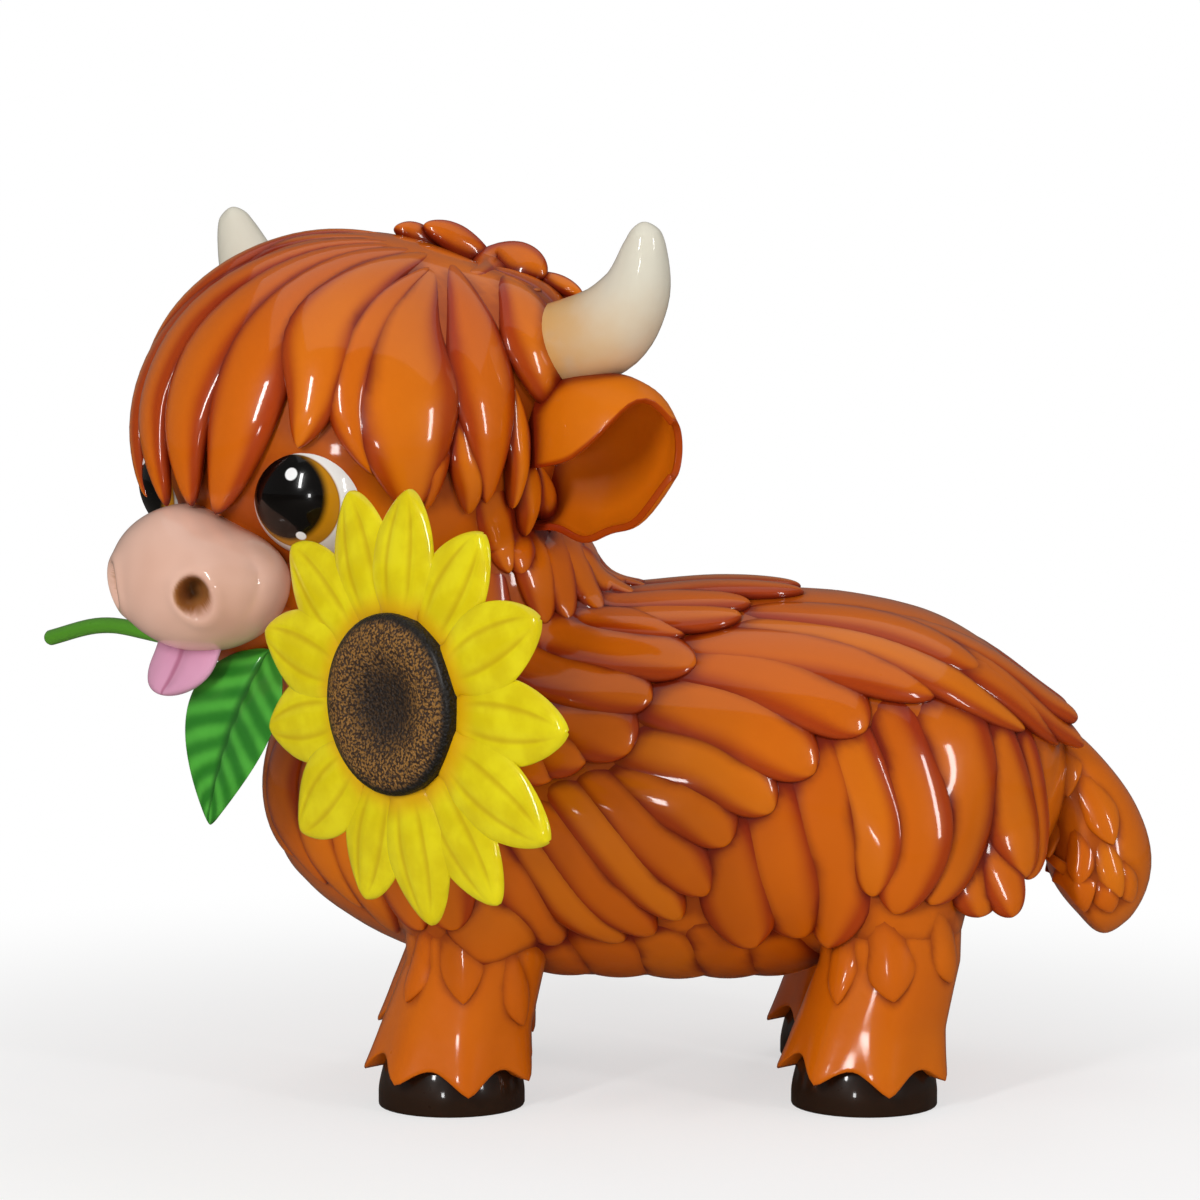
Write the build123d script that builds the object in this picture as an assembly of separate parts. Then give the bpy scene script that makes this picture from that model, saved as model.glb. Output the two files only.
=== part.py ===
# Cow statue of laminated resin that holds a sunflower in its mouth.
# Lengths are millimetres. The animal faces -X, its left side is toward -Y, Z is up and the ground is Z = 0.
import os
from math import cos, pi, radians, sin
from build123d import *

# Walls and fits
wall = 9.0  # laminate of the hollow shells
bond_gap = 0.3  # resin line left between two mouldings
cutter_size = 3000.0  # side of the block that cuts a moulding in half

# Torso, measured to the skin under the coat
torso_front = -335.0  # X of the chest
torso_length = 813.0
torso_level = 307.0  # height of the long axis
torso_half_height = 194.0
torso_half_width = 208.0
# place along the length, rise of the axis, half height and half width of each station
torso_shares = [
    (0.0, 0.03, 0.04, 0.04),
    (0.016, 0.02, 0.33, 0.32),
    (0.05, 0.01, 0.53, 0.52),
    (0.105, 0.01, 0.71, 0.71),
    (0.19, 0.01, 0.88, 0.885),
    (0.315, 0.005, 0.98, 0.975),
    (0.475, 0.0, 1.0, 1.0),
    (0.62, 0.005, 0.99, 0.99),
    (0.745, 0.03, 0.92, 0.935),
    (0.845, 0.06, 0.765, 0.8),
    (0.915, 0.06, 0.565, 0.6),
    (0.97, 0.04, 0.34, 0.355),
    (1.0, 0.03, 0.04, 0.04),
]

# Neck, an upright oval column from the shoulders into the head
neck_x = -157.0
neck_half_length = 163.0
neck_half_width = 150.0
neck_foot = 330.0
neck_top = 545.0

# Locks of the coat: pillows whose base is sunk in the skin
lock_sink = 7.0
lock_rise = 13.0
coat_clearance = 6.0  # locks of the legs and the tail end this far from the coat of the torso
crown_share = 0.55  # flat crown of a lock over the width of its base
lock_step_share = 0.02
droop = 1.3  # power that bends a lock down toward its tip
# place along the lock, width and rise of its sections
lock_shares = [(0.0, 0.5, 0.2), (0.62, 1.0, 1.0), (1.0, 0.24, 0.5)]

# Torso locks of one side: root and tip as place along the length and turn from spine to belly, then width
coat_shares = [
    (0.43, 0.05, 0.675, 0.045, 0.26),
    (0.36, 0.15, 0.58, 0.165, 0.28),
    (0.345, 0.23, 0.525, 0.28, 0.28),
    (0.34, 0.32, 0.46, 0.39, 0.26),
    (0.61, 0.08, 0.96, 0.25, 0.3),
    (0.53, 0.19, 0.905, 0.38, 0.3),
    (0.53, 0.255, 0.728, 0.415, 0.28),
    (0.476, 0.32, 0.667, 0.48, 0.27),
    (0.45, 0.39, 0.615, 0.55, 0.25),
    (0.42, 0.44, 0.557, 0.62, 0.25),
    (0.376, 0.47, 0.53, 0.7, 0.25),
    (0.34, 0.54, 0.47, 0.76, 0.25),
    (0.57, 0.57, 0.605, 0.8, 0.28),
    (0.63, 0.52, 0.665, 0.81, 0.3),
    (0.735, 0.4, 0.75, 0.77, 0.36),
    (0.81, 0.37, 0.806, 0.78, 0.32),
    (0.875, 0.37, 0.9, 0.8, 0.26),
    (0.06, 0.6, 0.2, 0.76, 0.3),
    (0.2, 0.56, 0.35, 0.76, 0.3),
]
# Neck locks of one side: turn from front to back, turn at the tip, width
neck_lock_shares = [(0.62, 0.65, 0.4), (0.85, 0.9, 0.4)]
neck_lock_root = 500.0
neck_lock_tip = 452.0

# Head, turned and tipped toward the animal's left
head_x = -239.0
head_y = -20.0
head_z = 650.0
head_yaw = 45.0
head_roll = 1.5
skull_radius = 205.0
skull_half_height = 185.0
jaw_forward = 150.0
jaw_below = 172.0
jaw_radius = 46.0
jaw_half_width = 74.0
egg_turn = 84.0  # degrees from the waist of an egg to its flat ends
whorl_turn = 180.0
whorl_rise = 62.0
# Head locks of the left side: turn and rise of the tip in degrees, start along the way from the whorl, width
fringe_shares = [
    (4, -12, 0.25, 0.3),
    (18, -16, 0.25, 0.27),
    (36, 1, 0.25, 0.3),
    (60, -13, 0.25, 0.46),
    (83, -13, 0.25, 0.34),
    (107, 10, 0.25, 0.28),
    (132, -8, 0.3, 0.4),
    (164, -18, 0.3, 0.44),
]
fringe_rise = 22.0
# Tufts on the crown: turn and rise of root and tip in degrees, width
tuft_turns = [(150, 62, 40, 83, 0.24), (165, 60, 116, 47, 0.3)]
tuft_lift = 26.0
tuft_rise = 16.0

# Muzzle, nostrils and tongue, from the middle of the head
muzzle_forward = 205.0
muzzle_below = 127.0
muzzle_radius = 72.0
muzzle_half_width = 105.0
nostril_forward = 276.0
nostril_side = 57.0
nostril_below = 128.0
nostril_radius = 19.0
tongue_forward = 208.0
tongue_top = -184.0
tongue_drop = 60.0
tongue_half_width = 36.0
tongue_half_thickness = 11.0
tongue_curl = 16.0
# place down the tongue, width and thickness of each section
tongue_shares = [(0.0, 0.8, 1.0), (0.4, 1.0, 1.0), (0.75, 0.93, 0.8), (0.94, 0.6, 0.6), (1.0, 0.25, 0.4)]

# Eyes
eye_forward = 131.0
eye_side = 86.0
eye_below = 42.0
eye_radius = 63.0

# Horns and ears: side, back and height of the middle of each section, then its radius
horn_root_radius = 45.0
horn_path = [(150.0, 70.0, 62.0), (205.0, 88.0, 84.0), (250.0, 96.0, 114.0), (284.0, 98.0, 154.0),
             (301.0, 92.0, 196.0), (305.0, 87.0, 222.0)]
horn_radius_shares = [0.85, 1.0, 0.92, 0.74, 0.48, 0.2]
ear_length = 172.0
ear_root_side = 158.0
ear_root_back = 56.0
ear_root_height = 8.0
ear_swing = 18.0  # degrees that the ear is swept back
ear_half_height = 78.0
ear_half_depth = 46.0
ear_wall = 7.0
ear_scoop = 24.0  # the hollow breaks out of the front of the ear by this much
# place along the ear, height, depth and drop of each section
ear_shares = [(0.0, 0.36, 0.5, 0.0), (0.3, 0.66, 0.82, 0.05), (0.62, 1.0, 1.0, 0.1), (0.88, 0.86, 0.8, 0.08),
              (1.0, 0.4, 0.4, 0.06)]

# Legs and hooves
front_leg_x = -121.0
rear_leg_x = 280.0
leg_y = 125.0
leg_top = 262.0
leg_radius = 67.0
leg_lean = -25.0  # the foot stands this far ahead of the upper leg
leg_shares = [(0.13, 1.0, 1.2), (0.3, 0.75, 1.06), (0.55, 0.0, 1.0), (1.0, 0.0, 1.06)]
bore_radius = 52.0
hem_count = 6
hem_level = 34.0  # height of the points of the hem
hem_notch_radius = 30.0
hem_turn_share = 0.28  # turn of the first point from the outer side, over the spacing
tier_count = 3
tier_spacing = 66.0  # degrees between the locks of a tier, about the outer side of the leg
tier_root = 186.0
tier_tip = 104.0
tier_width = 64.0
tier_rise = 9.0
hoof_radius = 72.0
hoof_height = 66.0
# share of the radius and of the height down the outside of the hoof, from the edge of its flat top
hoof_shares = [(0.56, 1.0), (0.86, 0.76), (0.97, 0.42), (1.0, 0.16), (0.96, 0.0)]

# Tail: X, height and radius of each section
tail_path = [(428.0, 352.0), (470.0, 326.0), (498.0, 274.0), (503.0, 220.0), (495.0, 180.0), (490.0, 160.0)]
tail_radius = 56.0
tail_shares = [0.52, 0.62, 0.88, 1.0, 0.9, 0.5]
tail_lock_rise = 9.0
tail_lock_width = 66.0
tail_lock_count = 4
tail_lock_shares = [(0.25, 0.58), (0.5, 0.86)]

# Stem of the flower, across the mouth, from the middle of the head
stem_radius = 8.0
core_radius = 4.0
stem_forward = 168.0
stem_reach = 282.0  # the free end stands this far out on the right
stem_end_level = -207.0
stem_mouth_side = 105.0
stem_mouth_level = -196.0
stem_bend = 46.0  # radius of the turn into the flower

# Flower
flower_forward = 226.0
flower_side = 293.0
flower_level = -224.0
petal_count = 13
petal_tip_radius = 200.0
petal_root_radius = 86.0
petal_half_width = 37.0
petal_thickness = 9.0
petal_ridge = 4.0
petal_cup = 16.0  # the tips lie this far behind the middle
petal_shares = [(0.0, 0.55, 0.9), (0.3, 0.92, 1.0), (0.6, 1.0, 1.0), (0.86, 0.66, 0.9), (1.0, 0.12, 0.5)]
disc_radius = 98.0
disc_thickness = 10.0
seed_radius = 84.0
seed_height = 22.0
seed_rim_share = 0.72
seed_hollow = 8.0
calyx_radius = 62.0
calyx_neck_radius = 17.0
calyx_height = 22.0

# Leaf, hung from the stem
leaf_side = 54.0  # the leaf hangs this far left of the middle of the mouth
leaf_front = 9.0  # its base lies this far ahead of the middle of the stem
leaf_top = -194.0
leaf_tip_forward = 222.0
leaf_tip_side = 22.0
leaf_tip_level = -364.0
leaf_half_width = 52.0
leaf_thickness = 7.0
leaf_ridge = 3.0
leaf_bow = 14.0
leaf_shares = [(0.0, 0.16, 1.0), (0.2, 0.78, 1.0), (0.42, 1.0, 1.0), (0.75, 0.62, 0.9), (1.0, 0.07, 0.5)]

# Steel frame inside the shells
tube_size = 25.0
tube_wall = 2.5
frame_top = 330.0
spine_front_x = -185.0
spine_rear_x = 300.0
neck_post_x = -165.0
neck_post_top = 640.0


# Smooth reading of one column of a table of shares
def blend(rows, column, place):
    place = min(max(place, rows[0][0]), rows[-1][0])
    last = len(rows) - 1
    i = max(k for k in range(last) if rows[k][0] <= place)
    slope = []
    for k in (i, i + 1):
        low, high = rows[max(k - 1, 0)], rows[min(k + 1, last)]
        slope.append((high[column] - low[column]) / (high[0] - low[0]))
    span = rows[i + 1][0] - rows[i][0]
    u = (place - rows[i][0]) / span
    start, end = rows[i][column], rows[i + 1][column]
    curve = start * (1 + 2 * u) * (1 - u) ** 2 + end * u * u * (3 - 2 * u)
    return curve + span * u * (1 - u) * (slope[0] * (1 - u) - slope[1] * u)


# One pillow-shaped lock along a trace that gives a point of the skin and its outward normal
def lock(trace, width, rise):
    sections = []
    for along, wide, high in lock_shares:
        point, out = trace(along)
        ahead = (trace(along + lock_step_share)[0] - trace(along - lock_step_share)[0]).normalized()
        side = ahead.cross(out).normalized()
        out = side.cross(ahead)
        base = point - out * lock_sink
        top = point + out * (rise * high)
        half = side * (width * wide / 2)
        crown = half * crown_share
        sections.append(Face(Wire.make_polygon([base - half, top - crown, top + crown, base + half], close=True)))
    return loft(sections)


# Loft through circles along a line of points, each square to the line
def round_loft(points, radii, grow=0.0):
    sections = []
    for k, point in enumerate(points):
        ahead = points[min(k + 1, len(points) - 1)] - points[max(k - 1, 0)]
        sections.append(Plane(origin=point, z_dir=ahead) * Circle(radii[k] + grow))
    return loft(sections)


# Egg with small flat ends, turned about the upright axis, or about the axis across the head
def egg(radius, half_length, across=False):
    arc = Edge.make_ellipse(radius, half_length, plane=Plane.XZ, start_angle=-egg_turn, end_angle=egg_turn)
    first, last = arc @ 0, arc @ 1
    foot, top = Vector(0, 0, first.Z), Vector(0, 0, last.Z)
    ends = [Edge.make_line(last, top), Edge.make_line(top, foot), Edge.make_line(foot, first)]
    form = revolve(Face(Wire([arc] + ends)), Axis.Z)
    return Rot(90, 0, 0) * form if across else form


# Blade with ridges along its face, along +X from the root, for petals and leaves
def blade(length, half_width, thickness, ridge, ridges, rows, sag):
    sections = []
    for along, wide, thick in rows:
        half = half_width * wide
        middle = Vector(length * along, 0, sag(along))
        points = [middle - Vector(0, half, 0)]
        for k in range(ridges):
            points.append(middle + Vector(0, half * ((2 * k + 1) / ridges - 1), ridge * wide))
            points.append(middle + Vector(0, half * ((2 * k + 2) / ridges - 1), 0))
        points.append(middle - Vector(0, 0, thickness * thick))
        sections.append(Face(Wire.make_polygon(points, close=True)))
    return loft(sections)


def torso_station(place):
    level, high, wide = [blend(torso_shares, column, place) for column in (1, 2, 3)]
    x = torso_front + torso_length * place
    return x, torso_level + torso_half_height * level, torso_half_height * high, torso_half_width * wide


# Point of the left side of the torso's skin, with turn 0 on the spine and 1 on the belly line
def torso_point(place, turn):
    x, z, high, wide = torso_station(place)
    return Vector(x, -wide * sin(pi * turn), z + high * cos(pi * turn))


def torso_skin(place, turn):
    step = lock_step_share
    along = torso_point(place + step, turn) - torso_point(place - step, turn)
    around = torso_point(place, turn + step) - torso_point(place, turn - step)
    return torso_point(place, turn), around.cross(along).normalized()


def torso_form(shrink=0.0, rows=torso_shares):
    sections = []
    for row in rows:
        x, z, high, wide = torso_station(row[0])
        plane = Plane(origin=(x, 0, z), x_dir=(0, 1, 0), z_dir=(1, 0, 0))
        sections.append(plane * Ellipse(wide - shrink, high - shrink))
    return loft(sections)


# The torso grown past its coat, where the locks of the legs and the tail end
def coat_envelope():
    return torso_form(-lock_rise - coat_clearance)


def neck_form(grow=0.0):
    outline = Pos(neck_x, 0, neck_foot) * Ellipse(neck_half_length + grow, neck_half_width + grow)
    return extrude(outline, neck_top - neck_foot)


def coat_lock(row):
    place, turn, tip_place, tip_turn, width = row

    def trace(u):
        bend = max(u, 0) ** droop
        return torso_skin(place + (tip_place - place) * u, turn + (tip_turn - turn) * bend)

    return lock(trace, width * torso_half_width, lock_rise)


def neck_lock(row):
    turn, tip_turn, width = row

    def trace(u):
        angle = pi * (turn + (tip_turn - turn) * u)
        out = Vector(-cos(angle) / neck_half_length, -sin(angle) / neck_half_width, 0).normalized()
        height = neck_lock_root + (neck_lock_tip - neck_lock_root) * u
        return Vector(neck_x - neck_half_length * cos(angle), -neck_half_width * sin(angle), height), out

    return lock(trace, width * torso_half_width, lock_rise)


# Column of one leg, without its coat
def leg_form(leg_x, grow=0.0):
    sections = []
    for height, lean, radius in leg_shares:
        plane = Plane((leg_x + leg_lean * lean, -leg_y, leg_top * height))
        sections.append(plane * Circle(leg_radius * radius + grow))
    return loft(sections)


def leg_skin(leg_x, height, angle):
    place = height / leg_top
    out = Vector(sin(angle), -cos(angle), 0)
    middle = Vector(leg_x + leg_lean * blend(leg_shares, 1, place), -leg_y, height)
    return middle + out * (leg_radius * blend(leg_shares, 2, place)), out


# Round notch in the hem, at a turn in degrees from the outer side
def hem_notch(leg_x, turn):
    notch = Pos(0, -cutter_size / 2, 0) * Rot(90, 0, 0) * Cylinder(hem_notch_radius, cutter_size)
    return Pos(leg_x + leg_lean, -leg_y, hem_level) * Rot(0, 0, turn) * notch


def hoof_form(leg_x, grow=0.0):
    points = [Vector(hoof_radius * wide + grow, 0, (hoof_height + grow) * high) for wide, high in hoof_shares]
    top = Vector(0, 0, hoof_height + grow)
    side = Edge.make_spline(points, tangents=[Vector(1, 0, 0), Vector(0, 0, -1)])
    outline = Wire([Edge.make_line(top, points[0]), side, Edge.make_line(points[-1], Vector(0, 0, 0)),
                    Edge.make_line(Vector(0, 0, 0), top)])
    return Pos(leg_x + leg_lean, -leg_y, 0) * revolve(Face(outline), Axis.Z)


# Hollow leg whose hem hangs over the hoof in points, with one tier of locks above
def make_leg(leg_x):
    leg = leg_form(leg_x) - Pos(leg_x, -leg_y, leg_top / 2) * Cylinder(bore_radius, leg_top)
    leg -= hoof_form(leg_x, bond_gap)
    for k in range(hem_count):
        leg -= hem_notch(leg_x, 360 * (k + hem_turn_share) / hem_count)
    locks = []
    for k in range(tier_count):
        angle = radians(tier_spacing * (k - (tier_count - 1) / 2))
        trace = lambda u, angle=angle: leg_skin(leg_x, tier_root + (tier_tip - tier_root) * u, angle)
        locks.append(lock(trace, tier_width, tier_rise) - coat_envelope())
    return leg.fuse(*locks)


def tail_point(place):
    spot = place * (len(tail_path) - 1)
    k = min(int(spot), len(tail_path) - 2)
    part = spot - k
    x = tail_path[k][0] + (tail_path[k + 1][0] - tail_path[k][0]) * part
    z = tail_path[k][1] + (tail_path[k + 1][1] - tail_path[k][1]) * part
    return Vector(x, 0, z), tail_radius * (tail_shares[k] + (tail_shares[k + 1] - tail_shares[k]) * part)


def tail_form(grow=0.0):
    points = [Vector(x, 0, z) for x, z in tail_path]
    return round_loft(points, [tail_radius * share for share in tail_shares], grow)


def tail_skin(place, angle):
    middle, radius = tail_point(place)
    ahead = (tail_point(place + lock_step_share)[0] - tail_point(place - lock_step_share)[0]).normalized()
    out = Vector(0, -1, 0) * cos(angle) + ahead.cross(Vector(0, -1, 0)) * sin(angle)
    return middle + out * radius, out


def make_tail():
    locks = []
    for row, (root, tip) in enumerate(tail_lock_shares):
        for k in range(tail_lock_count):
            angle = 2 * pi * (k + row / 2) / tail_lock_count
            trace = lambda u, angle=angle: tail_skin(root + (tip - root) * u, angle)
            locks.append(lock(trace, tail_lock_width, tail_lock_rise) - coat_envelope())
    return tail_form().fuse(*locks)


# Everything on the right of the middle plane
def right_side():
    return Pos(0, cutter_size / 2, 0) * Box(cutter_size, cutter_size, cutter_size)


# The shell of the left half of the body, open at the leg, tail and neck joints
def make_body():
    shell = torso_form() + neck_form() - torso_form(wall, torso_shares[1:-1]) - neck_form(-wall) - right_side()
    locks = [coat_lock(row) for row in coat_shares] + [neck_lock(row) for row in neck_lock_shares]
    shell = shell.fuse(*locks) - right_side()
    for leg_x in (front_leg_x, rear_leg_x):
        shell -= leg_form(leg_x, bond_gap)
    return shell - tail_form(bond_gap)


# Direction from the middle of the head: turn from the front to the left, and rise above level, in degrees
def head_way(turn, rise):
    turn, rise = radians(turn), radians(rise)
    return Vector(-cos(rise) * cos(turn), -cos(rise) * sin(turn), sin(rise))


def skull_point(way, lift=0.0):
    flat = (way.X ** 2 + way.Y ** 2) / skull_radius ** 2
    reach = 1 / (flat + way.Z ** 2 / skull_half_height ** 2) ** 0.5
    out = Vector(way.X / skull_radius ** 2, way.Y / skull_radius ** 2, way.Z / skull_half_height ** 2).normalized()
    return way * reach + out * lift, out


# Lock over the skull from one direction to another
def head_lock(start, end, first, width, rise, lift=0.0):
    angle = radians(start.get_angle(end))

    def trace(u):
        part = first + (1 - first) * u
        way = start * (sin(angle * (1 - part)) / sin(angle)) + end * (sin(angle * part) / sin(angle))
        return skull_point(way, lift * max(u, 0))

    return lock(trace, width * skull_radius, rise)


def muzzle_form(grow=0.0):
    return Pos(-muzzle_forward, 0, -muzzle_below) * egg(muzzle_radius + grow, muzzle_half_width + grow, True)


def jaw_form(grow=0.0):
    return Pos(-jaw_forward, 0, -jaw_below) * egg(jaw_radius + grow, jaw_half_width + grow, True)


def eye_form(side, grow=0.0):
    return Pos(-eye_forward, side * eye_side, -eye_below) * Sphere(eye_radius + grow)


def horn_form(grow=0.0):
    points = [Vector(back, -side, height) for side, back, height in horn_path]
    return round_loft(points, [horn_root_radius * share for share in horn_radius_shares], grow)


# Hollow or solid form of the left ear, along its own -Y axis
def ear_form(shrink=0.0, shift=0.0):
    sections = []
    for place, high, deep, drop in ear_shares:
        plane = Plane(origin=(-shift, -ear_length * place, -ear_half_height * drop), x_dir=(1, 0, 0), z_dir=(0, 1, 0))
        sections.append(plane * Ellipse(ear_half_depth * deep - shrink, ear_half_height * high - shrink))
    form = loft(sections)
    return Pos(ear_root_back, -ear_root_side, ear_root_height) * Rot(0, 0, ear_swing) * form


# Rod that leaves the mouth on the right in a low arch and turns forward into the flower on the left
def stem_form(radius):
    tip = Vector(-stem_forward, stem_reach, stem_end_level)
    mouth = Vector(-stem_forward, stem_mouth_side, stem_mouth_level)
    bend = Vector(-stem_forward, stem_bend - flower_side, flower_level)
    hub = Vector(-stem_forward - stem_bend, -flower_side, flower_level)
    arch = Edge.make_tangent_arc(mouth, mouth - bend, tip)
    line = Wire([arch, Edge.make_line(mouth, bend), Edge.make_tangent_arc(bend, bend - mouth, hub)])
    end = Plane(origin=line @ 0, z_dir=line % 0)
    return sweep(end * Circle(radius), path=line)


# The head shell in its own frame: the left half with its locks and sockets, and its mirror image
def make_head():
    whorl = head_way(whorl_turn, whorl_rise)
    half = egg(skull_radius, skull_half_height) - egg(skull_radius - wall, skull_half_height - wall) - right_side()
    locks = [head_lock(whorl, head_way(turn, rise), first, width, fringe_rise)
             for turn, rise, first, width in fringe_shares]
    half = half.fuse(*locks) - right_side()
    for socket in (eye_form(-1, bond_gap), horn_form(bond_gap), ear_form(-bond_gap)):
        half -= socket
    tufts = []
    for turn, rise, tip_turn, tip_rise, width in tuft_turns:
        tufts.append(head_lock(head_way(turn, rise), head_way(tip_turn, tip_rise), 0.0, width, tuft_rise, tuft_lift))
    head = half.fuse(mirror(half, about=Plane.XZ), jaw_form(), *tufts)
    return head - muzzle_form(bond_gap) - stem_form(stem_radius + bond_gap)


def tongue_form(grow=0.0):
    sections = []
    for place, wide, thick in tongue_shares:
        middle = (-tongue_forward - tongue_curl * place, 0, tongue_top - tongue_drop * place)
        plane = Plane(origin=middle, x_dir=(0, 1, 0), z_dir=(0, 0, 1))
        sections.append(plane * Ellipse(tongue_half_width * wide + grow, tongue_half_thickness * thick + grow))
    return loft(sections)


def make_muzzle():
    muzzle = muzzle_form()
    for side in (1, -1):
        muzzle -= Pos(-nostril_forward, side * nostril_side, -nostril_below) * Sphere(nostril_radius)
    return muzzle - stem_form(stem_radius + bond_gap) - tongue_form(bond_gap)


def make_ear():
    return ear_form() - ear_form(ear_wall, ear_scoop) - horn_form(bond_gap)


# The flower faces the same way as the head: its own +Z is forward
def flower_place(part):
    return Pos(-flower_forward, -flower_side, flower_level) * Rot(0, -90, 0) * part


def make_petals():
    span = petal_tip_radius - petal_root_radius
    petal = Pos(petal_root_radius, 0, 0) * blade(
        span, petal_half_width, petal_thickness, petal_ridge, 3, petal_shares, lambda u: -petal_cup * u * u)
    disc = Pos(0, 0, -disc_thickness / 2) * Cylinder(disc_radius, disc_thickness)
    return disc.fuse(*[Rot(0, 0, 360 * k / petal_count) * petal for k in range(petal_count)])


def make_seed_head():
    rim = seed_radius * seed_rim_share
    middle = seed_height - seed_hollow
    outline = Wire([Edge.make_line((0, 0, 0), (seed_radius, 0, 0)),
                    Edge.make_spline([(seed_radius, 0, 0), (rim, 0, seed_height), (0, 0, middle)]),
                    Edge.make_line((0, 0, middle), (0, 0, 0))])
    return revolve(Face(outline), Axis.Z)


def make_calyx():
    cup = Cone(calyx_neck_radius, calyx_radius, calyx_height)
    return Pos(0, 0, -disc_thickness - calyx_height / 2) * cup


def make_leaf():
    base = Vector(-stem_forward - leaf_front, -leaf_side, leaf_top)
    tip = Vector(-leaf_tip_forward, -leaf_tip_side, leaf_tip_level)
    plane = Plane(origin=base, x_dir=tip - base, z_dir=Vector(-1, 0, 0))
    leaf = blade((tip - base).length, leaf_half_width, leaf_thickness, leaf_ridge, 2, leaf_shares,
                 lambda u: 4 * leaf_bow * u * (1 - u))
    return plane * leaf - stem_form(stem_radius + bond_gap) - jaw_form(bond_gap)


def square_tube(length):
    return Box(tube_size, tube_size, length) - Box(tube_size - 2 * tube_wall, tube_size - 2 * tube_wall, length)


# Post of the left leg, which stands on its hoof
def make_post(leg_x):
    foot = hoof_height + bond_gap
    return Pos(leg_x, -leg_y, (foot + frame_top) / 2) * square_tube(frame_top - foot)


# Tube between the heads of two posts
def make_cross_tube(leg_x):
    return Pos(leg_x, 0, frame_top - tube_size / 2) * Rot(90, 0, 0) * square_tube(2 * leg_y - tube_size)


# Tube along the back that rests on both cross tubes
def make_spine():
    length = spine_rear_x - spine_front_x
    return Pos((spine_front_x + spine_rear_x) / 2, 0, frame_top + tube_size / 2) * Rot(0, 90, 0) * square_tube(length)


def make_neck_post():
    foot = frame_top + tube_size
    return Pos(neck_post_x, 0, (foot + neck_post_top) / 2) * square_tube(neck_post_top - foot)


# Pieces of the head in the head's own frame
def head_parts():
    stem = stem_form(stem_radius)
    core = stem_form(core_radius)
    horn = horn_form()
    ear = make_ear()
    return {
        "head": make_head(),
        "muzzle": make_muzzle(),
        "tongue": tongue_form(),
        "left_eye": eye_form(-1) - muzzle_form(bond_gap),
        "right_eye": eye_form(1) - muzzle_form(bond_gap),
        "left_horn": horn,
        "right_horn": mirror(horn, about=Plane.XZ),
        "left_ear": ear,
        "right_ear": mirror(ear, about=Plane.XZ),
        "flower_stem": stem - stem_form(core_radius + bond_gap),
        "stem_core_rod": core,
        "leaf": make_leaf(),
        "petal_ring": flower_place(make_petals()),
        "seed_head": flower_place(make_seed_head()),
        "flower_calyx": flower_place(make_calyx()) - stem_form(stem_radius + bond_gap),
    }


def make_all():
    body = make_body()
    parts = {"body_left": body, "body_right": mirror(body, about=Plane.XZ), "tail": make_tail()}
    for name, leg_x in (("front", front_leg_x), ("rear", rear_leg_x)):
        pieces = {"leg": make_leg(leg_x), "hoof": hoof_form(leg_x), "post": make_post(leg_x)}
        for piece, form in pieces.items():
            parts[f"{name}_left_{piece}"] = form
            parts[f"{name}_right_{piece}"] = mirror(form, about=Plane.XZ)
        parts[f"{name}_cross_tube"] = make_cross_tube(leg_x)
    parts["spine_tube"] = make_spine()
    parts["neck_post"] = make_neck_post()
    place = Location((head_x, head_y, head_z), (0, 0, head_yaw)) * Location((0, 0, 0), (head_roll, 0, 0))
    for name, part in head_parts().items():
        parts[name] = place * part
    parts["head"] -= neck_form(bond_gap)
    return parts


if __name__ == "__main__":
    parts = make_all()
    box = Compound(list(parts.values())).bounding_box()
    middle = box.center()
    os.makedirs("parts", exist_ok=True)
    for name, part in parts.items():
        export_step(Pos(-middle.X, -middle.Y, -box.min.Z) * part, f"parts/{name}.step")
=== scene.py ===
import math
import random
import bpy
import numpy as np
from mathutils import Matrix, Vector
from mathutils.bvhtree import BVHTree


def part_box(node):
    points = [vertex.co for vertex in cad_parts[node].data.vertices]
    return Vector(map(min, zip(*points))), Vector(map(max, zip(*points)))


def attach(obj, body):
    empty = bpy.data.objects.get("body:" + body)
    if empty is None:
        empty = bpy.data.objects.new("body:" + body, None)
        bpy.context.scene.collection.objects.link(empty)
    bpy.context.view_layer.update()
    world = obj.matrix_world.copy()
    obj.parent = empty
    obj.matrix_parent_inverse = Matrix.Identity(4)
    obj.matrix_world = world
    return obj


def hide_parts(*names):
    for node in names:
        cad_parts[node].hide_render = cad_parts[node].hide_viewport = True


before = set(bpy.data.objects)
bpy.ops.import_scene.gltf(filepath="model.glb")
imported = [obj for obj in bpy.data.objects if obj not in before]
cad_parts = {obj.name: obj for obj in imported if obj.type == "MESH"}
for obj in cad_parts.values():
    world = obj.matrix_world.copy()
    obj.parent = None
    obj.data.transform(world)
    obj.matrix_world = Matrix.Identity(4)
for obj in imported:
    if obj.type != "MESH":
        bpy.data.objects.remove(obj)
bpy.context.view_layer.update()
bpy.ops.object.select_all(action="DESELECT")
mm = 0.001
picker = random.Random(7)

bothSides = {"left": 1, "right": -1}

# The statue is drawn in millimetres from a point on the ground under its middle. It faces -X, with its left
# at -Y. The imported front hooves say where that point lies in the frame.
packedFrontX = -146.0


def middleOf(node):
    low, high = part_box(node)
    return (low + high) / 2


leftFoot = middleOf("front_left_hoof")
rightFoot = middleOf("front_right_hoof")
ground = np.array([leftFoot.x / mm - packedFrontX, (leftFoot.y + rightFoot.y) / 2 / mm, 0.0])
print("stage: frame read, ground point", ground.round(2))


# Shapes: every closed form is a sphere whose vertices are moved along a path

sphereStock = {}
plainTone = 0.5
poleWidth = 1e-6


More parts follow.
